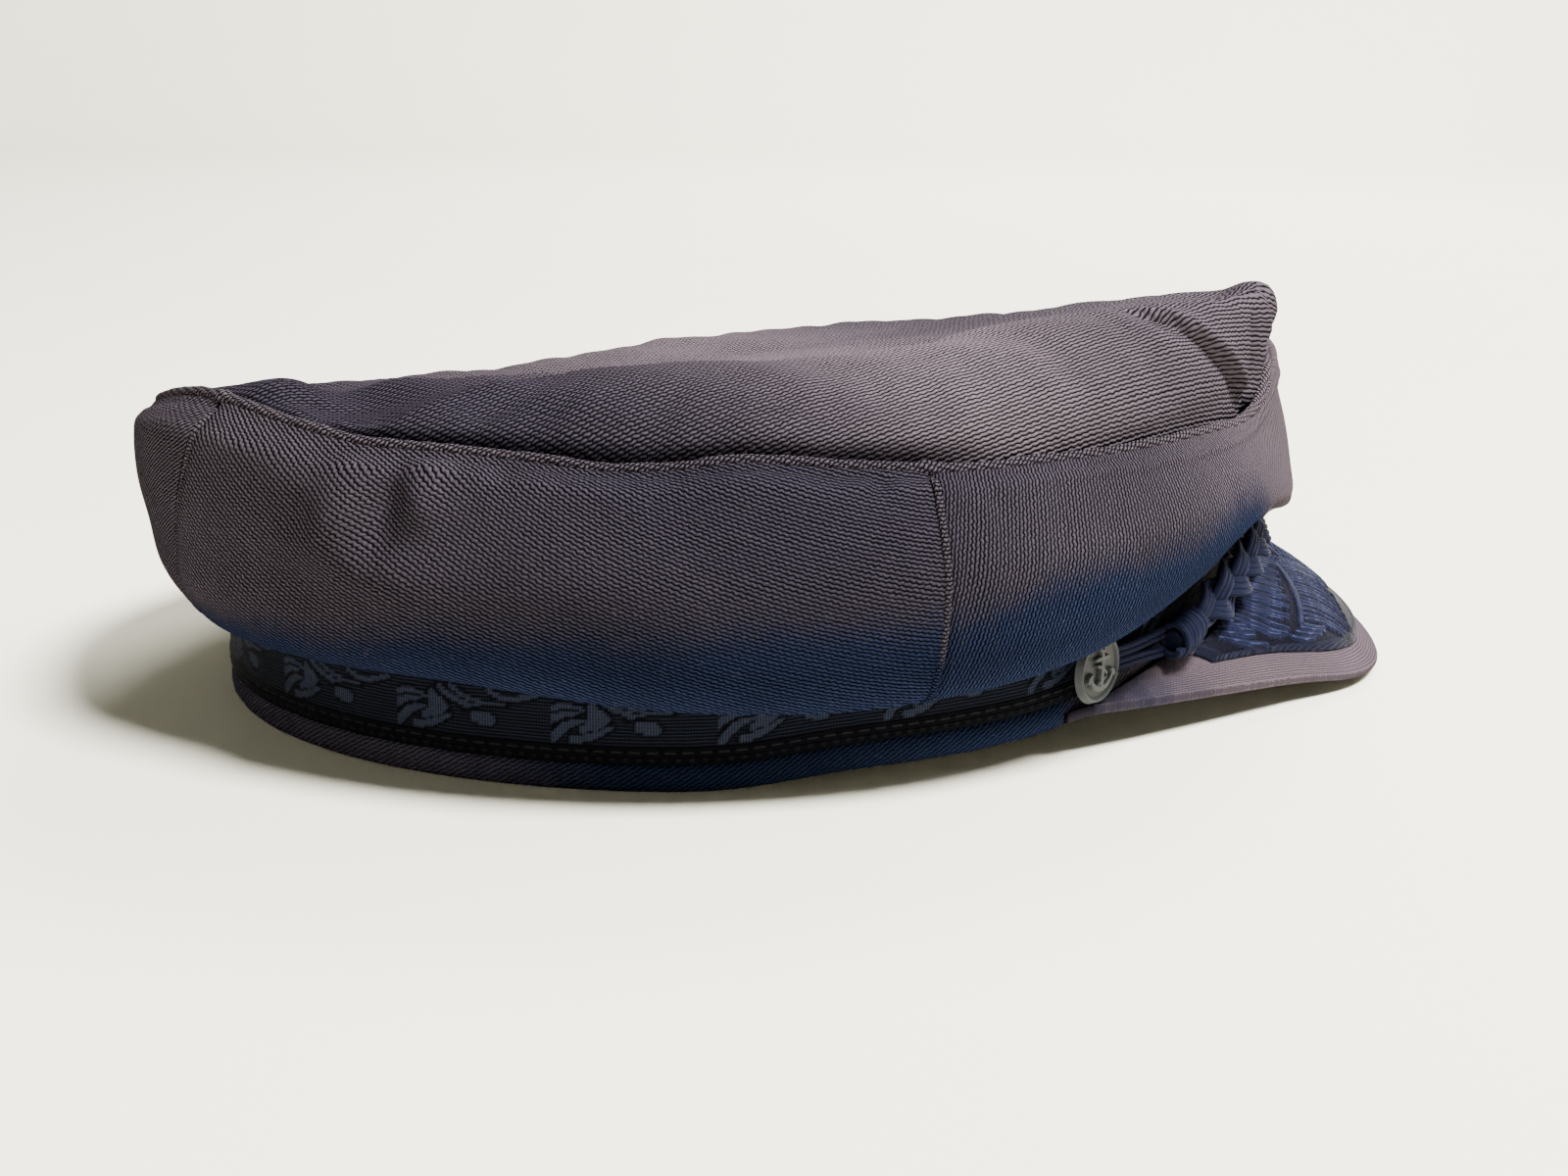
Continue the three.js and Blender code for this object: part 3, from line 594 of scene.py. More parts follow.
def twillMaterial(name, look):
    # worn twill: between the shaded and the bleached colour by a mark that holds sun fade together with
    # painted light, and navy where the navy mark is 1
    made, tree, surface = material(name)
    weave = use(tree, twillWeave, {"Map": clothMap(tree), "Pitch": look["pitch"],
                                   "Stitch": look["stitch"], "Grain": mark(tree, "grain")})
    worn = use(tree, wornMottle, {"Place": objectPlace(tree)})
    dyed = use(tree, sunFade, {"Navy": mark(tree, "navy"), "Broad": worn["Broad"], "Fine": worn["Fine"]})
    fadedAndLit = blend(tree, mark(tree, "bleach"), look["shaded"], look["bleachedAndLit"])
    blue = blend(tree, mark(tree, "pale"), look["navy"], [c * 1.8 for c in look["navy"]])
    shade = weave["Wale"].step(0.22, 0.95) * (1 - look["groove"]) + look["groove"]
    shade = shade * (worn["Broad"] * 0.6 + 0.7) * (weave["Slub"] * 0.9 + 0.55)
    # painted shade: the mark below darkens the colour where it is high
    colour = darken(tree, blend(tree, dyed["Navy"], fadedAndLit, blue), shade * (1 - mark(tree, "soot")))
    colour = blend(tree, worn["Lint"] * look["lint"], colour, look["bleachedAndLit"])
    finish(tree, surface, colour, weave["Height"] + worn["Fine"] * 0.5, look["depth"], 0.92)
    return made


def threadMaterial(name, dark, light, glint, depth):
    # satin thread: lines along the map's X, paler on the raised strands by a painted highlight, with painted
    # glints where the strand noise is high
    made, tree, surface = material(name)
    worn = use(tree, wornMottle, {"Place": objectPlace(tree)})
    along, across = splitXY(tree, clothMap(tree))
    drawn = put(tree, "ShaderNodeCombineXYZ", {0: along * 0.35, 1: across * 3.2}).outputs[0]
    strand = noise(tree, drawn, 1.0, 3.0)
    line = across.wave(0.42, strand * 6.0)
    raised = mark(tree, "strand")
    colour = blend(tree, raised * (strand * 1.3 + 0.1), dark, light)
    colour = blend(tree, strand.step(0.55, 0.75) * raised, colour, glint)
    colour = darken(tree, colour, (line * 0.35 + 0.65) * (worn["Broad"] * 0.6 + 0.7))
    finish(tree, surface, colour, line * 0.6 + strand, depth, 0.5, sheen=0.03, shine=0.02)
    return made


def ribbonMaterial():
    # ribs along the ribbon, threads across it, two rows of dashes by its foot, and the woven leaf
    made, tree, surface = material("leafRibbonCloth")
    along, up = splitXY(tree, clothMap(tree))
    rib = up.wave(0.62, noise(tree, clothMap(tree), 0.35, 3.0) * 3.0)
    thread = along.wave(0.5)
    dashes = along.wave(3.1).step(0.2, 0.4) * up.step(2.0, 2.3) * (1 - up.step(2.5, 2.9))
    lows = along.wave(2.3, 1.0).step(0.55, 0.8) * up.step(0.4, 0.8) * (1 - up.step(1.2, 1.6))
    light = dashes.work("MAXIMUM", dashes, lows * 0.5)
    leaf = mark(tree, "leaf")
    dots = rib ** 1.6 * (thread * 0.6 + 0.4) * up.step(3.2, 4.0) * (1 - mark(tree, "rim"))
    ground = blend(tree, dots, (0.0012, 0.0014, 0.0026), (0.0105, 0.0135, 0.024))
    woven = blend(tree, thread, (0.008, 0.010, 0.019), (0.020, 0.0245, 0.043))
    colour = blend(tree, light * 0.6, blend(tree, leaf, ground, woven), (0.012, 0.012, 0.015))
    height = leaf * (thread * 0.4 + 0.6) + rib * 0.45 + light * 0.5
    finish(tree, surface, colour, height, 0.2, 0.7, shine=0.02)
    return made


def pewterMaterial():
    made, tree, surface = material("pewterMetal")
    worn = use(tree, wornMottle, {"Place": objectPlace(tree)})
    colour = blend(tree, worn["Fine"], (0.012, 0.0145, 0.018), (0.029, 0.034, 0.039))
    colour = blend(tree, mark(tree, "recess"), colour, (0.0035, 0.0042, 0.005))
    finish(tree, surface, colour, worn["Fine"], 0.12, 0.5, metallic=0.25, shine=0.2)
    return made


def floorMaterial(pale):
    made, tree, surface = material("paleFloor")
    grain = noise(tree, objectPlace(tree), 6.0, 4.0)
    colour = blend(tree, grain, [c * 0.98 for c in pale], [c * 1.02 for c in pale])
    finish(tree, surface, colour, grain, 0.02, 0.9)
    return made


# the crown's four quarters

quarter = {"rows": 150, "cols": 82, "inset": 0.14, "lift": 1.3, "tuck": 0.04, "hollow": 0.12,
           "pucker": 0.5, "roll": 0.35, "groove": 0.35, "grain": 0.35}
# name, its node, its two seams, and the lean of the wales at each, in degrees above the way round
quarters = [
    ("crownFrontRight", "crown_side_front_right", seams["right"], seams["front"], 78, 92),
    ("crownFrontLeft", "crown_side_front_left", seams["front"], seams["left"], -92, -78),
    ("crownBackLeft", "crown_side_back_left", seams["left"], seams["back"] + 360, 15, 38),
    ("crownBackRight", "crown_side_back_right", seams["back"], seams["right"], -38, -14),
]
# how far above the overhang's edge the cloth keeps its navy, by angle
navyRise = [(-180, 3), (-165, 3), (-150, 7), (-134, 11), (-120, 15), (-107, 16), (-86, 18), (-70, 19),
            (-60, 17), (-45, 11), (-36, 2), (-28, -5), (-15, -8), (0, -6), (40, 8), (90, 13), (140, 8)]
# how far the sun has bleached the cloth by angle, together with painted light that makes the front paler
bleachAndLightRows = [(-180, 0.24), (-150, 0.18), (-120, 0.04), (-100, 0.02), (-88, 0.04), (-75, 0.09),
              (-55, 0.17), (-35, 0.4), (-15, 0.58), (15, 0.58), (50, 0.35), (110, 0.15)]
# soft creases in the side: angle, height, length, width, lean of its length, depth (swells < 0)
creases = [
    (-139.5, 52, 8, 2.8, 78, 2.0),
    (-144.5, 51, 7, 4.0, 70, -2.0),
    (-136, 54, 6, 3.6, 100, -1.9),
    (-143, 42, 13, 5.0, -12, -1.3),
    (-147, 58.5, 6, 3.0, 5, 1.0),
    (-128.5, 59, 3, 2.2, 80, 1.0),
    (-148, 50, 12, 4.0, 40, 0.8),
    (-92.5, 56, 6, 1.6, 35, 0.8),
    (-95, 58, 7, 1.5, 5, 0.6),
    (-79.5, 55, 5, 1.6, 95, 0.8),
    (-84, 46, 12, 3.0, 92, 0.5),
    (-47, 47, 7, 3.0, 105, 0.6),
    (-40, 45, 7, 3.0, 110, -0.4),
    (60, 44, 16, 5, 30, 0.9),
    (110, 40, 16, 5, -30, 0.9),
]


def bleachAndLightAt(angle):
    return readRows(bleachAndLightRows, 1, angle, 360)


def creaseDepth(angle, z):
    # sum of a bell along each crease times one across it, both turned by its lean
    total = 0.0
    for at, height, length, width, lean, depth in creases:
        around = ovalLength(at + turned(angle, at)) - ovalLength(at)
        along, across = turnedBy(lean, around, z - height)
        total = total + depth * bell(along, length) * bell(across, width)
    return total


def quarterSurface(start, end):
    # middle of the cloth, with the way round u, the height above the overhang's fold v, and z
    angles = evenAngles(start + quarter["inset"], end - quarter["inset"], quarter["rows"])
    points = twistedLine(angles)
    points[:, -1, 1] += quarter["lift"]
    points[:, -2, 0] = np.minimum(points[:, -2, 0], (points[:, -3, 0] + points[:, -1, 0]) / 2 + 0.6)
    out, z, way = np.moveaxis(through(points, quarter["cols"]), -1, 0)
    steps = np.hypot(np.diff(out, axis=1), np.diff(z, axis=1))
    v = np.pad(np.cumsum(steps, 1), ((0, 0), (1, 0)))
    v -= v[:, [round(0.3 * (quarter["cols"] - 1))]]
    return place(way, out, z), angles, np.broadcast_to(ovalLength(angles)[:, None], v.shape), v, way


def quarterRelief(angles, u, v, z, way):
    # how far the cloth is pushed in: along its seams, under the welt, and by its rolls and creases
    tuck = sum(quarter["tuck"] * bell(away, 1.5) + quarter["hollow"] * bell(away, 5)
               for away in (u - u[0], u[-1] - u))
    top = v[:, -1:] - v
    flank = 0.45 + bell(turned(angles, seams["right"]), 9)[:, None]
    pucker = quarter["pucker"] * bell(top, 6.5) * flank * waves(u + 0.25 * top, (5.3, 7.9, 12.7), 4)
    roll = quarter["roll"] * waves(u + 0.6 * v, (38, 61), 8) * smooth(2, 14, v) * smooth(0, 8, top)
    groove = quarter["groove"] * bell(top - 1.7, 0.8)
    return tuck + groove + smooth(0.6, 3.4, top) * (pucker + roll + creaseDepth(way, z))


def waleMap(u, v, leanFrom, leanTo):
    # X = integral cos(lean) du + v sin(lean), Y = v cos(lean) - integral sin(lean) du
    far = (u - u[0, 0]) / (u[-1, 0] - u[0, 0])
    lean = np.radians(leanFrom + (leanTo - leanFrom) * far)
    du = np.gradient(u[:, 0])[:, None]
    return np.stack([np.cumsum(np.cos(lean) * du, 0) + v * np.sin(lean),
                     v * np.cos(lean) - np.cumsum(np.sin(lean) * du, 0)], -1)


def buildQuarter(name, node, start, end, leanFrom, leanTo, cloth):
    mid, angles, u, v, way = quarterSurface(start, end)
    relief = quarterRelief(angles, u, v, mid[..., 2], way)
    outer = mid + surfaceNormals(mid) * (crown["wall"] / 2 - relief)[..., None]
    inner = outer - surfaceNormals(outer) * crown["wall"]
    front = (smooth(-84, -55, angles) * (1 - smooth(55, 84, angles)))[:, None]
    above = v - readRows(navyRise, 1, angles, 360)[:, None] - 1.2 * waves(u, (23, 47, 83), 15)
    marks = {"navy": np.where(v > 0, 1 - smooth(-8, 8, above), 1), "grain": quarter["grain"],
             "pale": (1 - smooth(1, 9, np.abs(v))) * 0.5 + 0.35 * front,
             # sun fade with painted light, by angle
             "bleach": bleachAndLightAt(angles)[:, None],
             # painted shade beside the quarter's first seam and under the overhang's fold
             "soot": 0.25 * bell(u - u[0] - 1.0, 0.45) * (v > -2) + 0.55 * smooth(2, 9, -v)}
    shape = twoFaced(outer, inner, waleMap(u, v, leanFrom, leanTo), marks)
    shape.build(name, cloth, "crown_twill", node)


# the top panel

topLook = {"around": 520, "across": 88, "wall": 1.6, "turn": -17.2, "weave": 0.76, "hood": 2.4,
           "full": 1.2, "rumple": 0.45, "swell": 0.5}
# folds in the top: x, y of the middle, half length, widths to its left and right, direction, depth
topFolds = [
    (-84, -36, 34, 8, 9, 90, 3.4),
    (-97, -40, 16, 6, 6, 60, -1.6),
    (-62, -66, 16, 5, 7, 40, 1.3),
    (-52, -60, 14, 6, 6, 75, 1.0),
    (-30, 10, 40, 12, 12, 100, 1.8),
    (-60, -15, 22, 9, 9, 50, 1.4),
    (10, 40, 34, 10, 10, 170, 1.6),
    (30, -30, 34, 9, 9, 25, 1.2),
]
# creases in the steep front of the top: angle and height of each end, widths before and after it in
# mm round the oval, and depth
frontCreases = [
    (-47, 82, -31, 60, 5.5, 0.9, 2.4),
    (-46, 83, -30, 59, 0.8, 3.0, -1.1),
    (-29.5, 76, -31.5, 63, 2.2, 0.8, 1.9),
    (-27, 77, -29, 62, 1.3, 2.5, -1.2),
    (-27.5, 72, -25.5, 69, 1.2, 1.2, 2.2),
]


def frontRelief(angles, z):
    # how far the creases push the top in: depth times a bell across each line
    total = 0.0
    for a0, z0, a1, z1, before, after, depth in frontCreases:
        t = np.clip((z0 - z) / (z0 - z1), -0.3, 1.3)
        across = ovalLength(angles)[:, None] - ovalLength(a0 + (a1 - a0) * t)
        ends = smooth(-0.3, 0.1, t) * (1 - smooth(1.0, 1.3, t))
        total = total + depth * ends * bell(across, np.where(across < 0, before, after))
    return total


def topSurface(around, across):
    # more of the rows lie where the front is creased, and more of the columns by the welt
    warp = np.interp(np.linspace(0, 1, around + 1)[:-1], [0, 0.27, 0.47, 1], [0, 0.33, 0.44, 1])
    angles = np.interp(warp, np.linspace(0, 1, around), allRound(around))
    shares = 1 - (1 - np.linspace(0.001, 1, across)) ** 1.9
    grid = topPoint(angles[:, None], shares[None])
    for x, y, length, left, right, way, depth in topFolds:
        along, side = turnedBy(way, grid[..., 0] - x, grid[..., 1] - y)
        fold = depth * bell(along, length) * bell(side, np.where(side > 0, left, right))
        grid[..., 2] -= fold * smooth(1, 0.93, shares)
    return grid, angles, shares


def topRelief(grid, angles, shares):
    # how far the cloth stands out of the plain top: rumples by the welt, swells within, less creases
    edge = smooth(0.72, 0.93, shares) * (1 - smooth(0.985, 1, shares))
    rumple = waves(ovalLength(angles)[:, None] + 14 * shares, (9.7, 16.3, 29), 21) * edge
    creased = frontRelief(angles, grid[..., 2]) * smooth(0.8, 0.93, shares)
    # the front corner of the top bulges over its welt
    hood = topLook["hood"] * bell(turned(angles, -19), 7)
    full = topLook["full"] * bell(turned(angles, -42), 24, 4)
    bulge = (hood + full)[:, None] * smooth(0.9, 0.97, shares) * (1 - smooth(0.994, 1, shares))
    swell = waves(grid[..., 0] + 0.5 * grid[..., 1], (19, 33, 57), 5) * (1 - smooth(0.9, 1, shares))
    return topLook["rumple"] * rumple - creased + bulge + topLook["swell"] * swell


def buildTop(cloth):
    grid, angles, shares = topSurface(topLook["around"], topLook["across"])
    normal = -surfaceNormals(grid, True)
    normal[:, 0] = (0, 0, 1)
    outer = grid + normal * topRelief(grid, angles, shares)[..., None]
    inner = grid - normal * topLook["wall"] * (1 - 0.35 * smooth(0.9, 1, shares))[None, :, None]
    x, y, z = np.moveaxis(grid, -1, 0)
    # the wales climb the near flank towards the front: Y is mostly the height, less a share of the
    # way along
    along, deep = turnedBy(topLook["turn"], x, y)
    drop = z - crown["topCentre"][2]
    uv = topLook["weave"] * np.stack([0.92 * along + 0.3 * deep + 0.2 * drop,
                                      0.5 * deep + 0.95 * drop - 0.58 * along], -1)
    uv = np.concatenate([uv, uv[:1]], 0)
    front = (smooth(-88, -72, angles) * (1 - smooth(72, 88, angles)))[:, None]
    fadedAndLit = smooth(-95, 30, x + 0.45 * y) * (1 - 0.15 * smooth(0.8, 0.97, shares))
    marks = {"grain": 0.22 + 0.45 * smooth(20, -50, x),
             # sun fade with painted light, paler towards the middle of the top
             "bleach": 0.05 + 0.74 * fadedAndLit * (1 - 0.35 * smooth(-10, 40, y)) * (1 - 0.62 * smooth(10, 62, x)),
             # painted shade in the crevice where the top tucks in at the welt, less at the front
             "soot": 0.85 * smooth(0.975, 1, shares) * (1 - 0.8 * front)}
    shape = Shape()
    shape.body(np.concatenate([outer, inner[:, ::-1]], 1), np.concatenate([uv, uv[:, ::-1]], 1),
               bothFaces(marks, x.shape), turnedBody=True, tipUv=uv[:, 0].mean(0))
    shape.build("crownTop", cloth, "crown_twill", "crown_top")


# the welt and the seams

welt = {"count": 1100, "sides": 12, "radius": 1.06, "uneven": 0.1, "lump": 0.4, "wander": 0.22, "hidden": 1.6}
seam = {"radius": 0.72, "sides": 10, "flatten": 0.75, "samples": 150, "sunk": 0.12, "backSunk": 0.5}


def buildWelt(cloth):
    angles = allRound(welt["count"])
    far = ovalLength(angles)
    out = crownAt(angles, "weltOut") - welt["hidden"] * bell(turned(angles, -17), 8, 4)
    rise = crownAt(angles, "weltZ") + welt["wander"] * waves(far, (13, 21, 37), 31)
    lump = sum(bell(far - ovalLength(at), 1.7) for at in seams.values())
    radius = welt["radius"] + welt["uneven"] * waves(far, (3.1, 5.7, 11), 32) + welt["lump"] * lump
    points, uv = tube(place(angles, out, rise), radius, welt["sides"], uvTurn=6.5, closed=True)
    uv = 0.7 * np.stack([uv[..., 0] + uv[..., 1], uv[..., 1] - uv[..., 0]], -1)
    shape = Shape()
    # the last mark is sun fade with painted light, as on the sides
    shape.grid(points, uv, {"navy": 0.05, "grain": 0.7, "bleach": bleachAndLightAt(angles)[:, None] * 0.9 + 0.15},
               closeRows=True, closeCols=True)
    shape.build("topWelt", cloth, "crown_twill", "top_welt")


def buildSeam(name, node, angle, sunk, cloth):
    # a lapped ridge over the join of two quarters, sunk in the cloth, from the overhang to the welt
    line = through(twistedLine(angle + np.array([-0.4, 0, 0.4])), seam["samples"])
    mid = place(line[..., 2], line[..., 0], line[..., 1])
    normal = surfaceNormals(mid)[1, 30:-2]
    path = mid[1, 30:-2] + normal * (crown["wall"] / 2 - sunk)
    far = np.linspace(0, 75, len(path))
    radius = seam["radius"] + 0.07 * waves(far, (2.3, 4.1, 9), 41)
    points, uv = tube(path, radius, seam["sides"], uvTurn=5.0, flatten=seam["flatten"], upwards=normal)
    rise = readRows(navyRise, 1, angle, 360)
    navy = (1 - smooth(rise - 4, rise + 6, far - 8))[:, None]
    shape = Shape()
    shape.body(points, uv[..., ::-1], {"navy": navy, "pale": navy * 0.4, "grain": 0.6,
                                       # sun fade with painted light, as on the sides
                                       "bleach": bleachAndLightAt(angle) + 0.12})
    shape.build(name, cloth, "crown_twill", node)


# headband and ribbon

band = {"count": 640, "lean": 33, "wobble": 0.18}
# the band's section as distance out and height above the hem, from the inner top round the hem
bandSection = [(-2.4, 34), (-2.4, 17), (-2.4, 1.1), (-2.1, 0.3), (-1.4, 0), (-0.1, 0), (0.55, 0.25),
               (0.9, 0.95), (1.0, 1.9), (0.95, 3.2), (0.75, 4.3), (0.35, 4.9), (0, 5.05), (0, 12), (0, 34)]


def buildBand(cloth):
    angles = allRound(band["count"])
    around = angles[:, None]
    out, rise = np.array(bandSection, float).T
    wobble = band["wobble"] * waves(ovalLength(around), (11, 27, 60), 51) * smooth(0, 1, out)
    points = place(around, out + wobble, hemZ(around) + rise)
    far = lengthAlong(np.array(bandSection, float))
    uv = np.stack(turnedBy(band["lean"], np.append(ovalLength(angles), ovalLength(180))[:, None],
                           np.append(far, far[-1] + head["bandWall"])), -1)
    worn = bell(rise - 1.6, 1.6) * (out > 0.2)
    shape = Shape()
    shape.grid(points, uv, {"pale": worn * (0.2 + 0.8 * smooth(-100, -60, around)), "grain": 0.2,
                            "navy": 0.1 + 0.9 * smooth(-150, -110, around) * (1 - smooth(-66, -58, around)),
                            # sun fade with painted light, paler at the front
                            "bleach": 0.2 + 0.6 * smooth(-70, -55, around)}, closeRows=True, closeCols=True)
    shape.build("headBand", cloth, "hem_twill", "headband")


ribbon = {"repeat": 29.5, "dotOut": 6.9, "wall": 0.8, "low": 5.3, "tall": 26.7, "first": 12.1,
          "before": 17.15, "rim": 0.5, "rows": 1300, "cols": 56}
# one repeat of the woven leaf about its oval dot, in mm: bent lines and their half widths
leafStrokes = [
    (-18.8, 1.2, -16.6, 4.6, -11.0, 2.9, 0.4, 0.55, 0.3),
    (-18.4, -1.3, -17.2, 2.2, -12.0, 2.2, 0.9, 0.75, 0.3),
    (-16.7, -2.7, -14.6, 0.6, -11.4, 0.9, 0.75, 0.8, 0.4),
    (-13.2, -2.6, -10.0, -2.4, -6.2, 0.0, 0.7, 0.7, 0.35),
    (-9.9, 3.9, -9.7, 1.4, -9.5, 0.2, 0.5, 1.0, 1.3),
    (-11.4, -0.6, -9.4, 0.2, -7.4, 0.9, 0.6, 1.1, 0.6),
    (-9.6, 3.4, -8.2, 2.0, -6.6, 1.3, 0.5, 0.8, 0.4),
    (-8.4, 5.0, -5.6, 2.6, -2.2, 2.4, 0.5, 0.6, 0.3),
    (-6.2, 5.6, -3.6, 3.2, 0.4, 2.9, 0.4, 0.45, 0.25),
    (-3.6, 1.5, 0.0, 3.4, 4.4, 2.6, 0.2, 0.3, 0.2),
    (1.2, 5.4, 3.6, 2.6, 10.6, 5.4, 0.45, 0.6, 0.45),
    (-1.2, 0.15, 0.0, 0.0, 1.2, -0.15, 1.15, 1.3, 1.15),
]


def leafWeave(u, v):
    # the leaf and its dark rim at u along the ribbon and v above its foot; the upper half of the
    # pattern is the lower one turned over and moved on by half a repeat
    rims = [(*row[:6], *(w + ribbon["rim"] for w in row[6:])) for row in leafStrokes]
    leaf = rim = 0.0
    for shift, up in ((0, v), (ribbon["repeat"] / 2, ribbon["tall"] - v)):
        x = (u + ribbon["first"] + shift + ribbon["before"]) % ribbon["repeat"] - ribbon["before"]
        leaf = np.maximum(leaf, strokeField(x, up - ribbon["dotOut"], leafStrokes)[0])
        rim = np.maximum(rim, strokeField(x, up - ribbon["dotOut"], rims)[0])
    leaf = smooth(0.05, 0.4, leaf)
    return leaf, smooth(0.0, 0.2, rim) * (1 - leaf)


def buildRibbon(cloth):
    angles, v = allRound(ribbon["rows"])[:, None], np.linspace(0, ribbon["tall"], ribbon["cols"])
    u = ovalLength(angles)
    cords = 0.3 * (bell(v - 1.0, 0.5) + bell(v - 2.5, 0.45))
    z = hemZ(angles) + ribbon["low"] + v
    outer = place(angles, head["gap"] + ribbon["wall"] + 0.12 * waves(u, (17, 43), 61) + cords, z)
    inner = place(angles, head["gap"], z[:, [0, -1]])
    leaf, rim = (np.pad(field, ((0, 0), (0, 2))) for field in leafWeave(u, v))
    uv = np.stack(np.broadcast_arrays(np.append(u, ovalLength(180))[:, None],
                                      np.concatenate([v, [v[-1], 0, 0]])), -1)
    shape = Shape()
    shape.grid(np.concatenate([outer, inner[:, ::-1]], 1), uv, {"leaf": leaf, "rim": rim},
               closeRows=True, closeCols=True)
    shape.build("leafRibbon", cloth, "jacquard_ribbon", "ribbon")


# peak and its embroidered panel

peakLook = {"endAngle": 63.0, "dome": 4.4, "wall": 2.0, "rise": 0.6, "rounded": 0.962,
            "rows": 300, "cols": 84}
# the rim from its middle (share 0) to its end (share 1): x, y, z of its lower edge
peakRim = [(0, 143.8, 0, 2.6), (0.16, 141.6, 20.5, 1.4), (0.32, 133.4, 41.2, 0.4), (0.46, 119.2, 57, 1.8),
           (0.62, 98.8, 65.2, 4.4), (0.78, 77.5, 73, 6.2), (0.9, 60, 78.8, 7.4), (1, 46, 82.6, 8.2)]
# the embroidered panel by share of the half width: where it starts and ends on the way down the peak
panelReach = [(0, 0.04, 0.91), (0.07, 0.04, 0.9), (0.113, 0.04, 0.865), (0.16, 0.04, 0.88),
              (0.28, 0.05, 0.875), (0.36, 0.06, 0.865), (0.43, 0.09, 0.85), (0.53, 0.17, 0.81),
              (0.62, 0.28, 0.75), (0.7, 0.38, 0.69), (0.74, 0.44, 0.65)]
panel = {"wall": 1.3, "gap": 0.3, "last": 0.74, "rows": 330, "cols": 92, "strand": 0.85,
         "deep": 38, "long": 90}


def peakPoint(across, down, lift):
    share = np.abs(across)
    angle = share * peakLook["endAngle"]
    x0, y0 = plan(angle, head["hemStep"] + head["gap"])
    z0 = hemZ(angle) + peakLook["rise"] + peakLook["wall"]
    x1, y1, z1 = (readRows(peakRim, k, share) for k in (1, 2, 3))
    bulge = peakLook["dome"] * np.sin(np.pi * np.minimum(down * 1.05, 1)) * (1 - share ** 3)
    side = np.where(across < 0, -1, 1)
    return np.stack(np.broadcast_arrays(x0 + (x1 - x0) * down, side * (y0 + (y1 - y0) * down),
                                        z0 + (z1 + peakLook["wall"] - z0) * down + bulge + lift), -1)


def buildPeak(cloth):
    across = np.linspace(-1, 1, peakLook["rows"])[:, None]
    down = 1 - 1.008 * np.linspace(0, 1, peakLook["cols"]) ** 1.5
    w = np.clip((down - peakLook["rounded"]) / (1 - peakLook["rounded"]), 0, 0.985)
    rounding = peakLook["wall"] / 2 * (1 - np.sqrt(1 - w ** 2))
    rim, root = peakPoint(across, 1.0, 0), peakPoint(across, 0.0, 0)
    far = lengthAlong(rim[:, 0])[:, None]
    fromRim = (1 - down) * np.linalg.norm(rim - root, axis=-1)
    pucker = 0.12 * waves(far, (4.3, 7.7, 15), 71) * bell(fromRim - 6.5, 3)
    upper = peakPoint(across, down, -rounding + pucker)
    lower = peakPoint(across, down, rounding - peakLook["wall"])
    marks = {"navy": 0.1 + 0.4 * smooth(0.72, 0.9, np.abs(across)), "grain": 0.2,
             # sun fade with painted light, less towards the peak's ends
             "bleach": 1.0 - 0.5 * smooth(0.7, 0.95, np.abs(across)),
             # painted shade away from the rim, under the crown, darkest at the peak's inner edge
             "soot": np.maximum(0.35 * smooth(14, 30, fromRim), 0.92 * (1 - smooth(0.06, 0.16, down)))}
    shape = twoFaced(upper, lower, np.stack(np.broadcast_arrays(far, fromRim), -1), marks)
    shape.build("peakCloth", cloth, "peak_twill", "peak")


# combs of satin strands on one half of the panel: x and y of the first and the last strand's start,
# then of their ends, how many, how far they bow sideways, and their half width
strandCombs = [
    (95, 45, 86, 61, 106, 49, 99, 61.5, 13, 1.8, 0.7),
    (104, 33, 96, 44, 110.5, 36, 105.5, 48, 10, 1.2, 0.68),
    (112.5, 35, 106, 55, 128, 30.5, 122, 51.5, 15, -1.6, 0.68),
    (103, 30, 106, 2, 115, 26, 119, 2, 20, 1.5, 0.72),
    (118, 28, 122, 2, 131, 24, 137, 2, 19, -1.4, 0.72),
    (112.5, 33.5, 115.5, 27, 126.5, 31, 130, 24.5, 7, -1.2, 0.7),
    (104.5, 32.5, 105, 28, 113.5, 34, 116, 27, 5, 0.8, 0.7),
    (77, 61, 80, 66.5, 87, 62, 93, 64, 5, 0.8, 0.65),
    (100, 60.5, 105, 56.5, 108, 58, 113, 53.5, 4, 0.6, 0.6),
]
# the stalks between the combs, as bent lines with half widths
stalkStrokes = [(112, 33, 110, 46, 104, 57, 0.7, 1.0, 0.7), (116.5, 28, 119, 14, 120.5, 0, 0.7, 0.9, 0.7)]


def panelStrokes():
    # every strand and stalk, and again on the other half
    strokes = []
    for *corners, count, bow, width in strandCombs:
        first, last, firstEnd, lastEnd = np.reshape(corners, (4, 2))
        strands = zip(np.linspace(first, last, count), np.linspace(firstEnd, lastEnd, count))
        for k, (start, end) in enumerate(strands):
            end = end + (start - end) * 0.09 * (1 + np.cos(2.1 * k))
            way = (end - start) / np.hypot(*(end - start))
            bent = (start + end) / 2 + bow * (1 + 0.3 * np.cos(1.7 * k)) * np.array((-way[1], way[0]))
            strokes.append((*start, *bent, *end, width * 0.7, width, width * 0.7))
    strokes += stalkStrokes
    return strokes + [(s[0], -s[1], s[2], -s[3], s[4], -s[5], *s[6:]) for s in strokes]


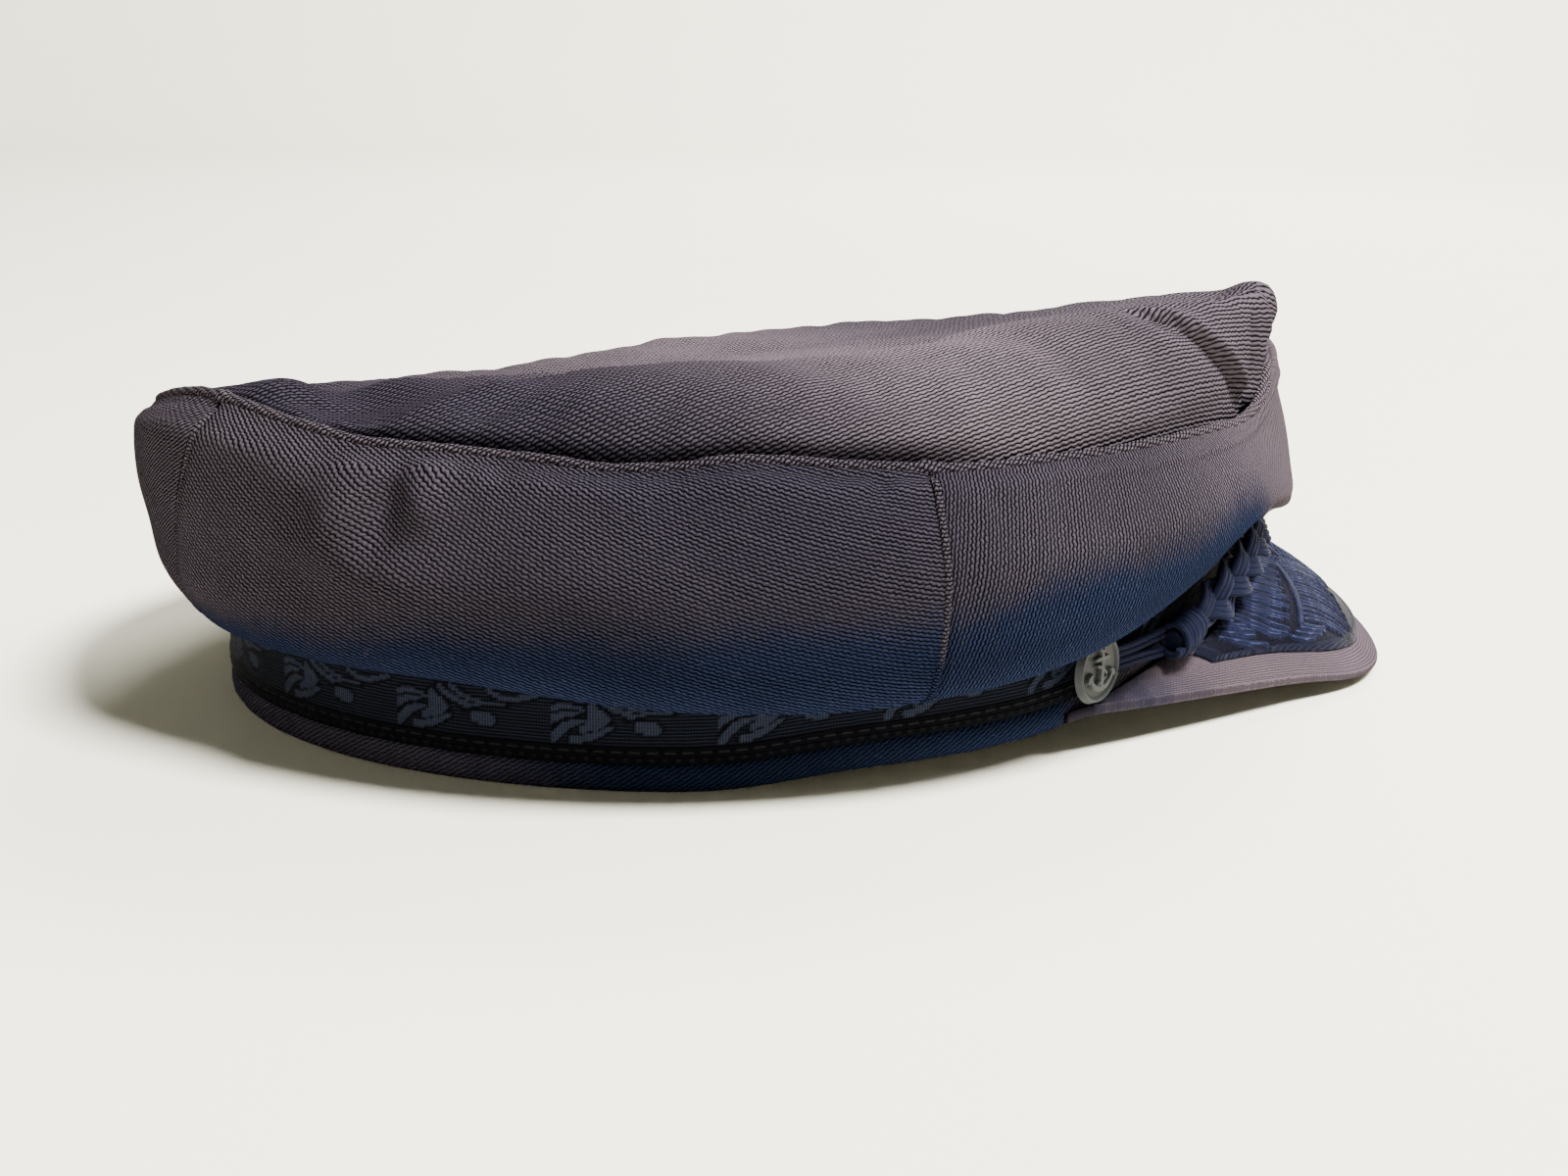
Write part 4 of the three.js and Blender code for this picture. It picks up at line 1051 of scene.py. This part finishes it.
def buildPanel(thread):
    across = np.linspace(-panel["last"], panel["last"], panel["rows"])[:, None]
    share = np.abs(across)
    t = np.linspace(1, 0, panel["cols"])
    start, end = readRows(panelReach, 1, share), readRows(panelReach, 2, share)
    down = start + (end - start) * t
    edge = np.minimum(panel["deep"] * np.minimum(1 - t, t), panel["long"] * (panel["last"] - share))
    flat = peakPoint(across, down, 0)
    x, y = flat[..., 0], flat[..., 1]
    height, side, along = strokeField(x, y, panelStrokes())
    rounded = np.sqrt(1 - (1 - np.clip(edge / 1.1, 0.05, 1)) ** 2)
    inside = smooth(1.2, 2.4, edge)
    lift = panel["gap"] + (panel["wall"] - 0.35 * inside) * rounded + panel["strand"] * height * inside
    # on a strand the map runs along it, elsewhere along the panel
    far = np.cumsum(np.linalg.norm(np.gradient(flat[:, 0], axis=0), axis=1))[:, None]
    ground = np.stack(np.broadcast_arrays(far, down * 44), -1)
    uv = np.where((height > 0.02)[..., None], np.stack([along, side], -1), ground)
    dash = 0.5 + 0.5 * np.sin(2 * np.pi * (x + 0.6 * y) / 2.6)
    stitch = bell(edge - 2.4, 0.4) * smooth(0.3, 0.7, dash) * (height < 0.05)
    marks = {"strand": np.maximum(height * inside, np.maximum(0.55 * stitch, 0.3 * (1 - inside)))}
    shape = twoFaced(peakPoint(across, down, lift), peakPoint(across, down, panel["gap"]), uv, marks)
    shape.build("peakPanel", thread, "embroidered_satin", "peak_embroidery")


# plaited cord, knots and straps

# the plaited cord's middle: angle, height, distance out
braidRise = [(0, 31.8, 7.8), (14, 31.6, 8.1), (24, 30.2, 8.1), (30, 27.6, 7.7), (37, 23.6, 6.8),
             (42, 20.8, 6.0)]
braid = {"end": 42.4, "samples": 560, "lean": 0.5, "period": 27.0, "across": 2.9, "over": 1.3,
         "cord": 0.8, "cords": 3, "spacing": 1.22}
knot = {"from": 43.2, "sweep": 4.3, "out": 5.8, "z": 20.0, "fall": 1.6, "turns": 4.2, "cord": 0.72,
        "samples": 300}
strap = {"from": 47.6, "sweep": 11.8, "out": 3.6, "in": 1.1, "z": 17.6, "fall": 0.6, "ridge": 0.58,
         "cord": 0.62, "samples": 90}


def addTube(shape, path, radius, sides, upwards, strand=0.8):
    points, uv = tube(path, radius, sides, uvTurn=4.2, upwards=upwards)
    shape.body(points, uv, {"strand": strand})


def sided(side, name, node):
    # the names of a piece on the wearer's left, 1, or right, -1
    return (name + "Left", node + "_left") if side > 0 else (name + "Right", node + "_right")


def buildBraid(thread):
    angles = evenAngles(-braid["end"], braid["end"], braid["samples"])
    rise, out = (readRows(braidRise, k, np.abs(angles)) for k in (1, 2))
    path = place(angles, out, rise)
    _, across, outward = frameAlong(path, outwardAt(angles, braid["lean"]))
    far = lengthAlong(path)
    ends = smooth(0, 9, far) * smooth(0, 9, far[-1] - far)
    shape = Shape()
    for strand in range(3):
        phase = 2 * np.pi * (far / braid["period"] + strand / 3) + 0.25 * waves(far, (31, 47), 81 + strand)
        a = braid["across"] * np.sin(phase) * (0.35 + 0.65 * ends)
        b = braid["over"] * np.sin(2 * phase) * (0.5 + 0.5 * ends)
        centre = path + across * a[:, None] + outward * b[:, None]
        _, beside, above = frameAlong(centre, outward)
        for cord in range(braid["cords"]):
            offset = (cord - (braid["cords"] - 1) / 2) * braid["spacing"] * (0.62 + 0.38 * ends)
            wander = 0.12 * waves(far, (7, 13), 90 + cord)
            line = centre + beside * offset[:, None] + above * wander[:, None]
            addTube(shape, line, braid["cord"], 8, above)
    shape.build("braidCord", thread, "satin_cord", "front_braid")


def buildKnot(side, thread):
    # two cords wound side by side about a core
    t = np.linspace(0, 1, knot["samples"])
    angle = side * (knot["from"] + knot["sweep"] * t)
    axis = place(angle, knot["out"], knot["z"] - knot["fall"] * t)
    forward, across, outward = frameAlong(axis, outwardAt(angle))
    swell = 2.3 + 0.9 * np.sin(np.pi * t) ** 0.6 + 0.22 * waves(t * 40, (5, 9, 17), 95)
    spin = 2 * np.pi * knot["turns"] * t[:, None]
    path = (axis + (across * np.cos(spin) + outward * np.sin(spin)) * swell[:, None]
            + forward * 0.9 * np.sin(spin + 0.8))
    shape = Shape()
    for ahead in (0.5, -0.6):
        addTube(shape, path + forward * ahead, knot["cord"], 8, forward)
    addTube(shape, axis, np.clip(swell - 0.8, 1.4, 2.5), 16, outward, strand=0.05)
    name, node = sided(side, "knot", "knot")
    shape.build(name, thread, "satin_cord", node)


def buildStrap(side, thread):
    # two flat cords of two ridges each, which spread towards the knot
    t = np.linspace(0, 1, strap["samples"])
    angle = side * (strap["from"] + strap["sweep"] * t)
    shape = Shape()
    for base, spread in ((1.15, 0.9), (-1.15, -0.3)):
        rise = strap["z"] - strap["fall"] * t + base + spread * (1 - t) ** 1.5 + 0.12 * np.sin(7 * t + base)
        for ridge in (strap["ridge"], -strap["ridge"]):
            path = place(angle, strap["out"] - strap["in"] * t, rise + ridge)
            addTube(shape, path, strap["cord"], 8, outwardAt(angle))
    name, node = sided(side, "strap", "cord_strap")
    shape.build(name, thread, "satin_cord", node)


# anchor buttons

button = {"radius": 6.9, "angle": 61.0, "facing": 47.0, "out": 3.7, "z": 17.4, "relief": 0.75,
          "rim": 0.6, "around": 150, "across": 64}
# the back of the button from its edge to the foot of its shank: radius and height
buttonBack = [(6.85, 1.3), (6.5, 1.05), (5.4, 1.0), (1.6, 0.95), (1.5, 0.4), (1.45, -1.8)]
# the anchor in mm from the button's middle: shank, stock, ring, arms, flukes and rope
anchorStrokes = [
    (0, 3.0, 0, 0, 0, -3.4, 0.5, 0.5, 0.6),
    (-1.9, 2.1, 0, 2.1, 1.9, 2.1, 0.45, 0.5, 0.45),
    (-0.7, 3.9, 0, 5.0, 0.7, 3.9, 0.35, 0.35, 0.35),
    (-0.7, 3.9, 0, 2.9, 0.7, 3.9, 0.35, 0.35, 0.35),
    (-3.7, -0.9, -2.6, -3.8, 0, -3.6, 0.4, 0.6, 0.6),
    (3.7, -0.9, 2.6, -3.8, 0, -3.6, 0.4, 0.6, 0.6),
    (-4.3, -1.7, -3.9, -1.0, -3.2, -0.5, 0.45, 0.6, 0.3),
    (4.3, -1.7, 3.9, -1.0, 3.2, -0.5, 0.45, 0.6, 0.3),
    (-1.6, 0.9, 0.4, 0.2, 1.5, -1.0, 0.3, 0.35, 0.3),
    (1.4, -1.6, -0.2, -2.2, -1.2, -2.8, 0.25, 0.3, 0.25),
]


def buildButton(side, metal):
    # turned about its own Z, and then set to face outwards
    turn = np.linspace(0, 2 * np.pi, button["around"], endpoint=False)[:, None]
    r = np.linspace(0.03, 1, button["across"]) * button["radius"]
    x, y = r * np.cos(turn), r * np.sin(turn)
    height = strokeField(x, y, anchorStrokes)[0]
    face = 2.0 + 0.25 * (1 - (r / button["radius"]) ** 2) + button["rim"] * bell(r - 6.1, 0.5)
    face = face + button["relief"] * smooth(0, 0.6, height) - 0.8 * smooth(6.2, button["radius"], r)
    backR, backZ = np.array(buttonBack).T
    back = np.stack(np.broadcast_arrays(backR * np.cos(turn), backR * np.sin(turn), backZ), -1)
    outward = outwardAt(side * button["facing"])
    across = np.cross((0, 0, 1.0), outward)
    basis = np.stack([across, np.cross(outward, across), outward])
    points = np.concatenate([np.stack([x, y, face], -1), back], 1) @ basis
    points = points + place(side * button["angle"], button["out"], button["z"])
    recess = 0.8 * (1 - smooth(0.0, 0.5, height)) * (r < 5.7)
    shape = Shape()
    shape.body(points, None, {"recess": np.pad(recess, ((0, 0), (0, len(buttonBack))))}, turnedBody=True)
    name, node = sided(side, "button", "button")
    shape.build(name, metal, "pewter", node)


# the whole cap

# the bleached colours below hold painted light as well as sun fade
crownCloth = twillMaterial("crownCloth", {
    "shaded": (0.0232, 0.0204, 0.0318), "bleachedAndLit": (0.175, 0.141, 0.166), "navy": (0.0112, 0.0155, 0.037),
    "groove": 0.05, "pitch": 0.72, "stitch": 1.15, "depth": 0.5, "lint": 0.03})
hemCloth = twillMaterial("hemCloth", {
    "shaded": (0.042, 0.0365, 0.058), "bleachedAndLit": (0.04, 0.035, 0.048), "navy": (0.007, 0.0105, 0.026),
    "groove": 0.3, "pitch": 0.78, "stitch": 1.4, "depth": 0.3, "lint": 0.05})
peakTwill = twillMaterial("peakTwill", {
    "shaded": (0.035, 0.030, 0.042), "bleachedAndLit": (0.073, 0.057, 0.071), "navy": (0.012, 0.014, 0.030),
    "groove": 0.55, "pitch": 0.62, "stitch": 0.8, "depth": 0.2, "lint": 0.05})
ribbonCloth = ribbonMaterial()
# colours: the thread, its painted highlight on the raised strands, and its painted glint
satinThread = threadMaterial("satinThread", (0.0009, 0.0012, 0.0045), (0.0075, 0.0105, 0.033),
                             (0.036, 0.040, 0.100), 0.25)
cordThread = threadMaterial("cordThread", (0.0026, 0.0035, 0.0108), (0.0082, 0.0103, 0.029),
                            (0.017, 0.0205, 0.048), 0.12)
pewterMetal = pewterMaterial()

for row in quarters:
    buildQuarter(*row, crownCloth)
print("quarters built")
buildTop(crownCloth)
buildWelt(crownCloth)
for where, at in seams.items():
    sunk = seam["backSunk"] if where == "back" else seam["sunk"]
    buildSeam(where + "Seam", where + "_seam", at, sunk, crownCloth)
print("top, welt and seams built")
buildBand(hemCloth)
buildRibbon(ribbonCloth)
print("band and ribbon built")
buildPeak(peakTwill)
buildPanel(satinThread)
print("peak and panel built")
buildBraid(cordThread)
for side in (-1, 1):
    buildKnot(side, cordThread)
    buildStrap(side, cordThread)
    buildButton(side, pewterMetal)
print("cords and buttons built")


# stage, light and camera

# lengths in metres
stageLook = {"floor": 2.6, "rise": 1.0, "bend": 0.5, "around": 96, "colour": (0.80, 0.785, 0.69)}
world = {"colour": (0.95, 0.95, 0.93, 1), "strength": 0.055}


def buildStage():
    # a round floor whose edge curves up into a wall, turned about the middle
    bend = stageLook["bend"]
    a = np.linspace(0, np.pi / 2, 12)
    r = np.concatenate([[0.3, 0.9], stageLook["floor"] - bend + bend * np.sin(a), [stageLook["floor"]]])
    z = np.concatenate([[0, 0], bend * (1 - np.cos(a)), [stageLook["rise"]]])
    turn = np.linspace(0, 2 * np.pi, stageLook["around"], endpoint=False)[:, None]
    grid = np.stack(np.broadcast_arrays(r * np.cos(turn), r * np.sin(turn), z), -1) / mm - middle
    shape = Shape()
    shape.grid(grid, closeRows=True, flip=True)
    shape.fan(np.arange(stageLook["around"]) * len(r))
    floor = shape.makeObject("floorSheet", floorMaterial(stageLook["colour"]))


def addLight(name, spot, aim, size, power, colour):
    light = bpy.data.lights.new(name, "AREA")
    light.shape, light.size = "DISK", size
    light.energy, light.color = power, colour
    lamp = bpy.data.objects.new(name, light)
    bpy.context.collection.objects.link(lamp)
    lamp.location = spot
    lamp.rotation_mode = "QUATERNION"
    lamp.rotation_quaternion = (Vector(aim) - Vector(spot)).to_track_quat("-Z", "Y")


buildStage()
addLight("keyLight", (0.46, -0.66, 1.5), (0, 0, 0), 0.5, 145.0, (1.0, 0.98, 0.91))
addLight("sideLight", (1.3, 0.0, 1.1), (0, 0, 0.04), 0.8, 16.0, (1.0, 0.98, 0.95))
addLight("backLight", (0.9, 1.3, 1.5), (0.9, 1.6, 0), 1.2, 110.0, (1.0, 0.98, 0.91))
softWorld = bpy.data.worlds.new("softWorld")
softWorld.use_nodes = True
background = softWorld.node_tree.nodes["Background"].inputs
background[0].default_value, background[1].default_value = world["colour"], world["strength"]
bpy.context.scene.world = softWorld

# the camera's place from the band's middle, in mm, and its three axes
eye = {"place": (-118.2, -412.3, 127.6), "right": (0.95538, -0.29498, 0.01534),
       "up": (0.06118, 0.24843, 0.96672), "ahead": (0.28897, 0.92264, -0.25539), "lens": 47.25}
camera = bpy.data.objects.new("shotCamera", bpy.data.cameras.new("shotCamera"))
bpy.context.collection.objects.link(camera)
camera.data.sensor_width, camera.data.lens = 36.0, eye["lens"]
axes = Matrix((eye["right"], eye["up"], [-v for v in eye["ahead"]])).transposed()
camera.matrix_world = Matrix.Translation((Vector(eye["place"]) + Vector(middle)) * mm) @ axes.to_4x4()
camera.data.clip_start, camera.data.clip_end = 0.01, 20.0
bpy.context.scene.camera = camera
print("stage, lights and camera set")
